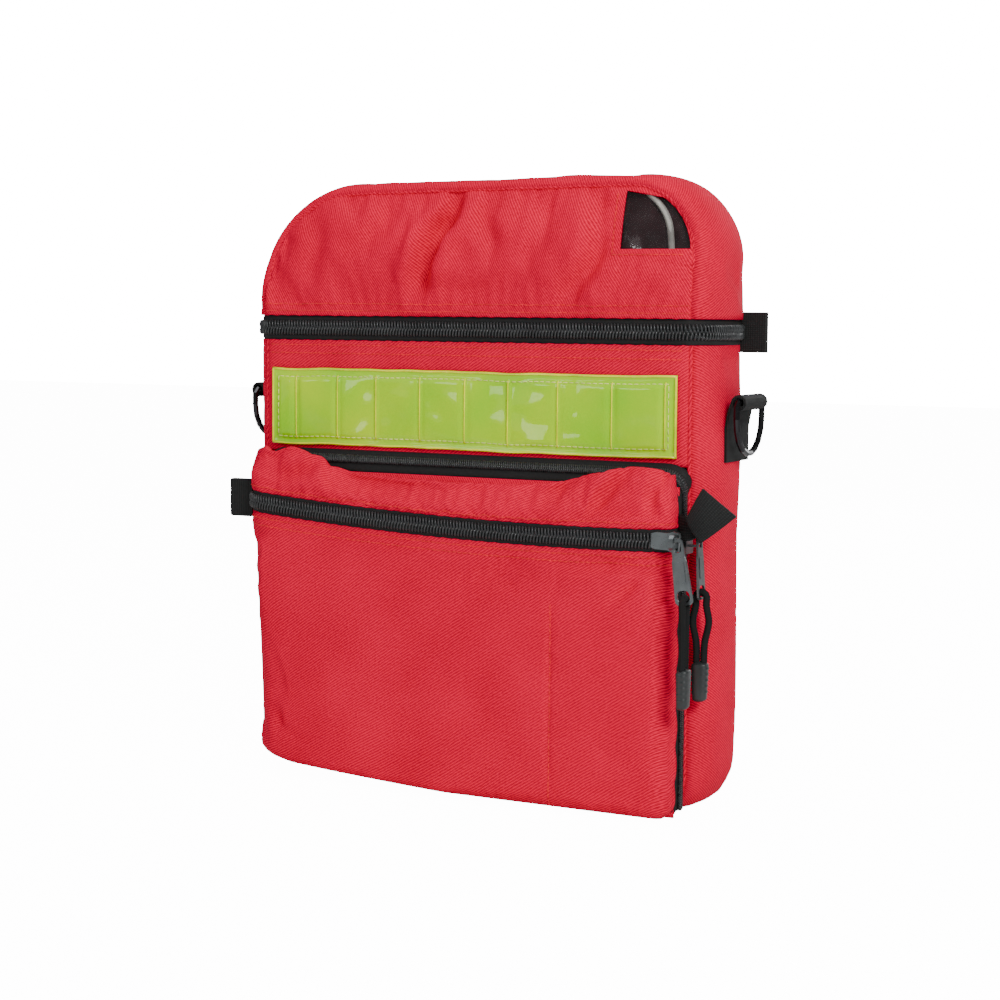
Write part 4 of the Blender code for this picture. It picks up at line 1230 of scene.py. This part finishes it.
def build_pocket_upper(cols=190, rows=40):
    """The cloth above the pocket's zipper, which slumps, rolls over its wavy top and meets the flap."""
    plan, normal = pocket_plan(cols)
    top = curve_through([(x, 0.0, z) for x, z in POCKET_TOP], 200)
    top_z = np.interp(plan[:, 0], top[:, 0], top[:, 2])
    low = pocket_zip_z(plan[:, 0]) + TAPE_HALF - 2.4 + scalloped(plan[:, 0] + 3.0)
    s = np.linspace(0.0, 1.0, rows)[:, None]
    rise = np.clip(s / 0.68, 0.0, 1.0)
    over = np.clip((s - 0.68) / 0.32, 0.0, 1.0)
    radius = 4.2
    straight = top_z - radius - low
    z = low + straight * rise + radius * np.sin(over * math.pi) ** 0.8 * (1.0 - 0.3 * over) - 9.0 * over ** 2
    back = 5.6 * rise ** 1.4 + 9.4 * over
    plump = 1.6 * np.sin(rise * math.pi)
    out = 0.25 * np.clip(1 - s * 12, 0, 1) - back + plump
    x = plan[:, 0] + normal[:, 0] * np.where(np.abs(plan[:, 0]) > 150, out * 0.35, out)
    y = plan[:, 1] + normal[:, 1] * out
    y = np.minimum(y, -49.2)
    grid = np.stack([x, y, z * np.ones_like(x)], axis=2)
    piece = sheet("pocket_upper_fabric", grid, "red_across", uv=hanging_uv(grid))
    pins = border_pins(rows, cols)
    moved = sim_cloth(piece, pins, 1.2, -0.05, 2.6).reshape(grid.shape)
    fade = np.clip(np.sin(s * math.pi) * 2.5, 0.0, 1.0)
    height = 1.9 * fold_height(grid, UPPER_FOLDS) + 1.1 * wavy(grid, 26.0, 4.0) + 0.4 * wavy(grid, 11.0, 16.0)
    height = height * fade * smoothstep(s, 0.06, 0.34)
    moved[..., 1] -= height * 0.9
    moved[..., 2] += height * 0.35 * over
    moved[..., 1] = np.minimum(moved[..., 1], -49.2)
    hem = (s < 0.15) & (normal[:, 1] < -0.9)
    moved[..., 1] = np.where(hem, np.minimum(moved[..., 1], plan[:, 1] - 0.15), moved[..., 1])
    set_points(piece, moved)
    thicken(piece)
    place_on(piece, "front_flap", "red_fabric", "pocket_upper_front", "pocket_top")
    return moved


def build_flap_panel(cols=60, rows=44):
    """The flap's own sheet of cloth behind the pocket."""
    x = np.linspace(-150.0, 152.4, cols)
    low = pocket_low(x) - 1.0
    z = low + (205.5 - low) * np.linspace(0.0, 1.0, rows)[:, None]
    grid = np.stack([np.broadcast_to(x, z.shape), np.full_like(z, -48.8), z], axis=2)
    near_top = smoothstep(z, 160.0, 205.0)
    grid[..., 1] += 1.2 * near_top + 0.3 * wavy(grid, 50.0, 17.0)
    grid = settle_left(grid)
    piece = sheet("flap_panel_fabric", grid, "red")
    thicken(piece, 1.4, 0.0)
    place_on(piece, "front_flap", "red_fabric", "flap_panel")


def build_pocket_bottom(lower, rows=6):
    """Closes the pocket from its front's lower edge back to the flap."""
    edge = lower[0]
    edge = edge[edge[:, 1] < -53.0]
    back = np.stack([np.clip(edge[:, 0], -139.0, 148.0), np.full(len(edge), -48.6), edge[:, 2] + 0.8], axis=1)
    t = np.linspace(0.0, 1.0, rows)[:, None, None]
    grid = (edge + [0.0, 0.4, 0.3]) * (1.0 - t) + back * t
    piece = sheet("pocket_bottom_fabric", grid, "red", flip=True)
    thicken(piece)
    place_on(piece, "front_flap", "red_fabric", "pocket_bottom")


# ---------------------------------------------------------------- stitches

def build_stitches(lid_front, yoke, lower, upper):
    lid = Heap()
    hem_stitches(lid, lid_front, (3.2, 8.0))
    for a, b in (((100.8, 384.0), (100.8, 346.0)), ((100.8, 346.0), (148.0, 346.0))):
        line = np.linspace(a, b, 24)
        y = surface_y(lid_front, line[:, 0], line[:, 1]) - 0.1
        stitch_row(lid, np.stack([line[:, 0], y, line[:, 1]], axis=1), (0.0, -1.0, 0.0))
    place_on(lid.piece("lid_stitches", "red_thread"), "lid", "red_fabric")
    body = Heap()
    hem_stitches(body, yoke, (3.2, 8.6), from_top=True)
    place_on(body.piece("yoke_stitches", "red_thread"), "bag_body", "red_fabric")
    pocket = Heap()
    hem_stitches(pocket, lower, (3.4, 8.2), from_top=True)
    hem_stitches(pocket, upper, (3.4,))
    middle = int(np.abs(lower[20, :, 0] - DIVIDER_X).argmin())
    rows = np.arange(0, lower.shape[0])
    rows = rows[lower[:, middle, 2] < DIVIDER_TOP]
    points, normals = on_surface(lower, rows, np.full(len(rows), middle))
    stitch_row(pocket, points, normals, 2.4, 1.4, 0.36)
    place_on(pocket.piece("pocket_stitches", "red_thread"), "front_flap", "red_fabric")


def build_seams(lid_gusset, gusset):
    piping("lid_front_piping", lid_gusset[0], 1.25, "lid")
    piping("lid_back_piping", lid_gusset[-1], 1.1, "lid")
    piping("body_back_piping", gusset[-1], 1.2, "bag_body")
    piping("body_front_piping", gusset[0], 1.1, "bag_body")


# ---------------------------------------------------------------- carried-over pieces

def keep(node, look, slot, round_mm=0.0):
    """A piece of the frame that stays as it is, under a woven, moulded or metal finish."""
    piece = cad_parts[node]
    piece.data.materials.clear()
    piece.data.materials.append(LOOKS[look])
    if round_mm:
        bevel(piece, round_mm)


KEPT = [
    ("inner_divider", "red_space", "red_fabric"),
    ("elastic_loops_lower", "webbing_space", "elastic"),
    ("elastic_loops_upper", "webbing_space", "elastic"),
    ("pocket_divider", "red_space", "red_fabric"),
    ("shoulder_pad_left", "pad_cloth", "back_mesh", 1.5),
    ("shoulder_pad_right", "pad_cloth", "back_mesh", 1.5),
    ("lower_strap_left", "webbing_space", "black_webbing"),
    ("lower_strap_right", "webbing_space", "black_webbing"),
    ("grab_handle", "webbing_space", "black_webbing"),
    ("pocket_zipper_tab_left", "webbing_space", "black_webbing"),
    ("ring_loop_left", "webbing_space", "black_webbing"),
    ("ring_loop_right", "webbing_space", "black_webbing"),
    ("d_ring_left", "ring", "ring_metal"),
    ("d_ring_right", "ring", "ring_metal"),
    ("strap_adjuster_left", "plastic", "black_plastic"),
    ("strap_adjuster_right", "plastic", "black_plastic"),
    ("pocket_slider", "metal", "dark_metal"),
    ("clamshell_slider", "metal", "dark_metal"),
    ("lid_slider", "metal", "dark_metal"),
    ("lid_pull_tab", "metal", "dark_metal"),
]


def build_boards():
    """The stiffeners inside the bag's bottom and back."""
    x, y = np.meshgrid(np.linspace(-134.0, 134.0, 30), np.linspace(-30.0, 14.0, 8))
    low = settle_left(np.stack([x, y, np.full_like(x, 8.4)], axis=2))
    board = thicken(sheet("bottom_board_sheet", low, "board"), 2.0, 0.0)
    place_on(board, "bag_body", "board", "bottom_board")
    verts = [(x, y, z) for x in (-140, 140) for y in (29, 31) for z in (34, 284)]
    faces = [(0, 1, 3, 2), (4, 6, 7, 5), (0, 4, 5, 1), (2, 3, 7, 6), (0, 2, 6, 4), (1, 5, 7, 3)]
    board = bevel(mesh_from("back_frame_board", verts, faces, "board", smooth=False), 0.5)
    place_on(board, "bag_body", "board", "back_frame_sheet")


def build_back_pad(cols=110, rows=110):
    """A quilted pad of spacer mesh on the bag's back."""
    low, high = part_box("back_pad")
    half_width = high.x / MM
    half_height = (high.z - low.z) / MM / 2.0
    middle = (high.z + low.z) / MM / 2.0
    corner = 22.0
    v = np.linspace(-1.0, 1.0, rows)[:, None] * half_height
    beyond = np.clip(np.abs(v) - (half_height - corner), 0.0, corner)
    half = half_width - corner + np.sqrt(corner ** 2 - beyond ** 2)
    x = np.linspace(-1.0, 1.0, cols) * half
    gap = np.minimum(half - np.abs(x), half_height - np.abs(v))
    edge = np.sqrt(1.0 - (1.0 - np.clip(gap / 7.0, 0.0, 1.0)) ** 2)
    groove = sum(np.exp(-((x - c) / 2.2) ** 2) for c in (-40.0, 40.0))
    groove = groove + sum(np.exp(-((v - c) / 2.2) ** 2) for c in (-60.0, 0.0, 60.0)) * np.ones_like(x)
    rim = np.exp(-((gap - 9.0) / 1.6) ** 2)
    y = low.y / MM + 6.8 * edge - 1.8 * np.clip(groove, 0, 1) * edge - 1.2 * rim
    grid = np.stack([x, y, np.broadcast_to(v + middle, x.shape)], axis=2)
    piece = sheet("back_pad_mesh", grid, "pad_mesh", flip=True)
    thicken(piece, 1.0)
    place_on(piece, "bag_body", "back_mesh", "back_pad")
    border = np.vstack([grid[0], grid[1:-1, -1], grid[-1][::-1], grid[1:-1, 0][::-1]])
    loop = resample(np.vstack([border, border[:1]]), 260)[:-1]
    binding = Heap()
    binding.add(*tube_mesh(loop + [0, 0.6, 0], 1.5, 8, ring=True))
    place_on(binding.piece("back_pad_binding", "webbing_space"), "bag_body", "black_webbing")


# ---------------------------------------------------------------- webbing tabs

def webbing_fold(name, start, out, node):
    """A short loop of webbing: two layers from the seam, joined by a round fold at the outer end."""
    start = np.array(start, float)
    out = np.array(out, float)
    length = np.linalg.norm(out)
    run = out / length
    flat = np.cross(run, UP)
    radius = 1.0
    centre = [start + flat * radius, start + run * (length - radius) + flat * radius]
    bend = [start + run * (length - radius) + radius * (math.sin(a) * run + math.cos(a) * flat)
            for a in np.linspace(0.3, math.pi - 0.3, 7)]
    path = np.array(centre + bend + [start + run * (length - radius) - flat * radius, start - flat * radius])
    path = resample(path, 60)
    side = np.linspace(-WEBBING_WIDTH / 2, WEBBING_WIDTH / 2, 22)[:, None, None]
    grid = path[None] + side * np.array(UP)
    piece = sheet(name, grid, "webbing")
    thicken(piece, WEBBING_THICKNESS, 0.0)
    bevel(piece, 0.25, 1, 60)
    place_on(piece, "bag_body", "black_webbing", node)


def build_tabs():
    """The tabs at the two ends of the lid's zipper."""
    for side, sign in (("right", 1.0), ("left", -1.0)):
        webbing_fold("lid_tab_" + side, (sign * 160.0, 25.5, 299.0), (sign * 19.4, 0.6, 0.0),
                     "lid_zipper_tab_" + side)


def build_twisted_tab(count=26):
    """The pocket zipper's right tab: a folded loop of webbing that has twisted half flat."""
    corners = np.array([(160.0, -52.5, 186.5), (169.6, -51.0, 206.0), (190.8, -50.5, 190.0),
                        (168.8, -53.0, 172.8)])
    u, v = np.meshgrid(np.linspace(0, 1, count), np.linspace(0, 1, count))
    weights = [(1 - u) * (1 - v), (1 - u) * v, u * v, u * (1 - v)]
    grid = sum(w[..., None] * c for w, c in zip(weights, corners))
    grid[..., 1] -= 1.4 * np.sin(u * math.pi) * np.sin(v * math.pi) + 0.8 * np.sin(u * 4.0)
    face = sheet("pocket_tab_right", grid, "webbing")
    thicken(face, 2.6, 1.0)
    bevel(face, 0.6, 2, 60)
    root = np.array([[(151.0, -51.2, 172.5), (151.0, -51.2, 190.5)],
                     [(161.5, -51.8, 174.0), (161.5, -51.8, 187.5)],
                     [(166.0, -51.6, 176.0), (163.5, -51.6, 188.0)]])
    rows = np.stack([resample(row, 12) for row in root])
    stem = sheet("pocket_tab_right_root", rows, "webbing", flip=True)
    thicken(stem, 1.4, 0.0)
    for piece in (face, stem):
        place_on(piece, "front_flap", "black_webbing")
    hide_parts("pocket_zipper_tab_right")


def build_handle_ends(lid_gusset):
    """Where the grab handle's webbing is sewn over the lid's rear top seam."""
    high = np.flatnonzero(lid_gusset[-1, :, 2] > 340.0)
    high_x = lid_gusset[-1, high, 0]
    for name, middle in (("handle_end_right", 104.0), ("handle_end_left", -104.0)):
        span = middle + np.linspace(-0.5, 0.5, 22) * WEBBING_WIDTH
        columns = np.interp(span, high_x, high)
        rows = np.linspace(lid_gusset.shape[0] - 7.5, lid_gusset.shape[0] - 1.2, 12)
        top = []
        for row in rows:
            points, normals = on_surface(lid_gusset, np.full(22, row), columns)
            top.append(points + np.where(normals[:, 2:] > 0, normals, -normals) * 1.0)
        seam = top[-1]
        for drop in np.linspace(2.0, 14.0, 6):
            top.append(np.stack([seam[:, 0], np.maximum(seam[:, 1] + 2.2, 38.2), seam[:, 2] - drop], axis=1))
        piece = sheet(name, np.stack(top), "webbing", flip=True)
        thicken(piece, 1.4, 0.0)
        place_on(piece, "lid", "black_webbing")


# ---------------------------------------------------------------- pulls and cords

def ring_outline(width, height, corner, count=8):
    """A rounded rectangle round the origin, as a loop of (a, b) points."""
    points = []
    for quarter, (sa, sb) in enumerate(((1, 1), (-1, 1), (-1, -1), (1, -1))):
        for k in range(count):
            angle = math.pi / 2 * (quarter + k / (count - 1))
            points.append((sa * (width / 2 - corner) + corner * math.cos(angle),
                           sb * (height / 2 - corner) + corner * math.sin(angle)))
    return points


def plate_with_holes(name, outer, holes, thick, place, look):
    """A flat plate with holes; place(a, b, height) puts its points in space."""
    bm = bmesh.new()
    edges = []
    for loop in [outer] + holes:
        verts = [bm.verts.new((a, b, 0.0)) for a, b in loop]
        edges += [bm.edges.new((verts[i], verts[(i + 1) % len(verts)])) for i in range(len(verts))]
    bmesh.ops.triangle_fill(bm, use_beauty=True, edges=edges)
    extruded = bmesh.ops.extrude_face_region(bm, geom=list(bm.faces))
    for item in extruded["geom"]:
        if isinstance(item, bmesh.types.BMVert):
            item.co.z = thick
    bmesh.ops.recalc_face_normals(bm, faces=list(bm.faces))
    for vert in bm.verts:
        vert.co = Vector(place(vert.co.x, vert.co.y, vert.co.z - thick / 2)) * MM
    bmesh.ops.recalc_face_normals(bm, faces=list(bm.faces))
    mesh = bpy.data.meshes.new(name)
    bm.to_mesh(mesh)
    bm.free()
    return bevel(link(name, mesh, look), 0.35, 3, 50)


def build_pull(prefix, pivot, hang, across, loop, swing_bodies, nodes):
    """A zipper pull, the braided cord looped through its foot and the ribbed grip on the cord."""
    pivot = np.array(pivot, float)
    hang = np.array(hang, float)
    down = unit(hang - pivot)
    across = np.array(across, float)
    across = unit(across - (across @ down) * down)
    face = np.cross(across, down)
    pull_body, cord_body = swing_bodies
    pull_node, cord_node, grip_node = nodes

    def place(a, b, height):
        return pivot + across * a + down * b + face * height

    shoulder = [(3.6, -1.5), (4.0, 3.0), (4.0, 8.0), (4.7, 11.0), (5.75, 33.0), (5.6, 35.4), (4.0, 37.0)]
    tip = [(2.2, -3.0)]
    side = tip + shoulder
    outer = side + [(-a, b) for a, b in reversed(side)]
    slot_top = [(a, b + 2.3) for a, b in ring_outline(4.2, 6.0, 1.6)]
    slot_foot = [(a, b + 31.9) for a, b in ring_outline(8.0, 7.1, 2.8)]
    plate = plate_with_holes(prefix + "_pull_plate", outer, [slot_top, slot_foot], 1.5, place, "metal")
    inset_outline = [(a, b + 17.5) for a, b in ring_outline(6.0, 13.0, 1.2)]
    inset = plate_with_holes(prefix + "_pull_rib", inset_outline, [], 2.3, place, "metal")
    for piece in (plate, inset):
        place_on(piece, pull_body, "dark_metal")
    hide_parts(pull_node)
    drop = np.array([0.0, 0.0, -1.0])
    spread = 3.6
    length = 43.0
    turn = np.linspace(math.pi, 0.0, 15)
    arch = [hang + spread * math.cos(a) * face - spread * math.sin(a) * drop for a in turn]
    left = [hang - face * w + drop * d for w, d in ((2.3, length), (2.7, 28.0), (loop, 15.0), (3.5, 5.0))]
    right = [hang + face * w + drop * d for w, d in ((3.5, 5.0), (loop, 15.0), (2.7, 28.0), (2.3, length))]
    path = curve_through(left + arch[::2] + right, 150)
    verts, faces = tube_mesh(path, 2.15, sides=12, normal=across)
    braid = np.arange(len(verts))
    row, ring = braid // 12, braid % 12
    swell = 0.14 * np.sin(row * 1.9 + ring * math.pi / 3) * np.sin(row * 1.9 - ring * math.pi / 3)
    centre = path[row]
    verts = centre + (verts - centre) * (1.0 + swell[:, None])
    cord = mesh_from(prefix + "_cord_braid", verts, faces, "cord")
    place_on(cord, cord_body, "cord", cord_node)
    top = hang + drop * (length - 4.0)
    sections = []
    for k in range(61):
        share = k / 60.0
        rounding = min(1.0, math.sqrt(max(0.0, 1.0 - (1.0 - share / 0.10) ** 2)) if share < 0.10 else 1.0,
                       math.sqrt(max(0.0, 1.0 - ((share - 0.90) / 0.10) ** 2)) if share > 0.90 else 1.0)
        rounding = max(rounding, 0.25)
        rib = 0.45 * max(0.0, math.sin(share * 2 * math.pi * 7)) if 0.12 < share < 0.86 else 0.0
        wide = (5.3 - 0.9 * share) * rounding + rib
        deep = (4.3 - 0.7 * share) * rounding
        for angle in np.linspace(0, 2 * math.pi, 24, endpoint=False):
            c, d = math.cos(angle), math.sin(angle)
            a = wide * math.copysign(abs(c) ** 0.75, c)
            b = deep * math.copysign(abs(d) ** 0.75, d)
            sections.append(top + face * a + across * b + drop * (25.0 * share))
    faces = grid_faces(61, 24, close_cols=True)
    faces += [tuple(range(23, -1, -1)), tuple(range(60 * 24, 61 * 24))]
    grip = mesh_from(prefix + "_grip_body", sections, faces, "grip")
    place_on(grip, cord_body, "grip_plastic", grip_node)


def build_pulls():
    """The pulls hang a little to the right of their sliders' middles, along their own swing axes."""
    build_pull("pocket", (162.0, -73.2, 174.3), (167.3, -73.2, 138.6), (1.0, 0.0, 0.0), 2.7,
               ("pocket_pull", "pocket_cord"), ("pocket_pull_tab", "pocket_pull_cord", "pocket_pull_grip"))
    build_pull("clamshell", (162.6, -39.5, 174.0), (164.5, -39.5, 138.0), (0.0, 1.0, 0.0), 5.2,
               ("clamshell_pull", "clamshell_cord"),
               ("clamshell_pull_tab", "clamshell_pull_cord", "clamshell_pull_grip"))


def build_stage():
    """A pale floor under and behind the bag, a bright white backdrop and soft lights."""
    floor_mesh = bpy.data.meshes.new("floor")
    wide = 6.0
    floor_mesh.from_pydata([(-wide, -wide, 0), (wide, -wide, 0), (wide, wide, 0), (-wide, wide, 0)], [],
                           [(0, 1, 2, 3)])
    n = Nodes("floor_paint")
    space = n.coordinates("object")
    n.colour(n.ramp(n.noise(space, 3.0), [(0.0, (0.86, 0.86, 0.86)), (1.0, (0.9, 0.9, 0.9))]))
    n.set(rough=0.9)
    glow = n.add("LightPath").outputs["Is Camera Ray"]
    n.shader.inputs["Emission Color"].default_value = (1.0, 1.0, 1.0, 1.0)
    n.link(n.math("MULTIPLY", glow, 14.0), n.shader.inputs["Emission Strength"])
    LOOKS["floor"] = n.material
    link("floor", floor_mesh, "floor")
    world = bpy.data.worlds.new("studio")
    bpy.context.scene.world = world
    world.use_nodes = True
    tree = world.node_tree
    background = tree.nodes["Background"]
    background.inputs["Color"].default_value = (1.0, 1.0, 1.0, 1.0)
    background.inputs["Strength"].default_value = 0.22
    seen = tree.nodes.new("ShaderNodeBackground")
    seen.inputs["Strength"].default_value = 24.0
    path = tree.nodes.new("ShaderNodeLightPath")
    mix = tree.nodes.new("ShaderNodeMixShader")
    tree.links.new(path.outputs["Is Camera Ray"], mix.inputs["Fac"])
    tree.links.new(background.outputs[0], mix.inputs[1])
    tree.links.new(seen.outputs[0], mix.inputs[2])
    tree.links.new(mix.outputs[0], tree.nodes["World Output"].inputs["Surface"])
    area_light("key", (1.6, -1.3, 1.4), 0.7, 46.0)
    area_light("fill", (-1.3, -1.6, 0.8), 1.2, 4.0)
    area_light("glare", (-0.85, -1.75, 0.45), 0.35, 3.0)
    area_light("top", (-0.3, 0.0, 2.0), 1.0, 15.0)
    area_light("back", (0.4, 2.0, 0.9), 1.2, 14.0)


def area_light(name, place, size, power):
    data = bpy.data.lights.new(name, "AREA")
    data.size = size
    data.energy = power
    lamp = bpy.data.objects.new(name, data)
    lamp.location = place
    aim = Vector((0.0, 0.0, 0.19)) - Vector(place)
    lamp.rotation_euler = aim.to_track_quat("-Z", "Y").to_euler()
    bpy.context.scene.collection.objects.link(lamp)


def build_camera():
    azimuth, elevation, distance, roll = (math.radians(27.25), math.radians(5.07), 1.3806, math.radians(0.5))
    target = Vector((0.00583, 0.0, 0.18726))
    back = Vector((math.sin(azimuth) * math.cos(elevation), -math.cos(azimuth) * math.cos(elevation),
                   math.sin(elevation)))
    data = bpy.data.cameras.new("camera")
    data.lens = 75.58
    data.sensor_width = 36.0
    camera = bpy.data.objects.new("camera", data)
    camera.location = target + back * distance
    turn = (-back).to_track_quat("-Z", "Y").to_matrix().to_4x4() @ Matrix.Rotation(roll, 4, "Z")
    camera.rotation_euler = turn.to_euler()
    bpy.context.scene.collection.objects.link(camera)
    bpy.context.scene.camera = camera


def main():
    lid_front = build_lid_front()
    lid_gusset = build_lid_gusset()
    build_window(lid_front)
    build_lid_back()
    gusset = build_main_gusset()
    yoke = build_yoke()
    build_back_panel()
    build_lid_hinge()
    build_flap_hinge()
    build_strip()
    lower = build_pocket_lower()
    upper = build_pocket_upper()
    build_pocket_bottom(lower)
    build_flap_panel()
    build_lid_zipper()
    build_pocket_zipper()
    build_clamshell_zipper()
    build_stitches(lid_front, yoke, lower, upper)
    build_seams(lid_gusset, gusset)
    build_boards()
    build_back_pad()
    build_tabs()
    build_twisted_tab()
    build_handle_ends(lid_gusset)
    build_pulls()
    for entry in KEPT:
        keep(*entry)
    build_stage()
    build_camera()


main()
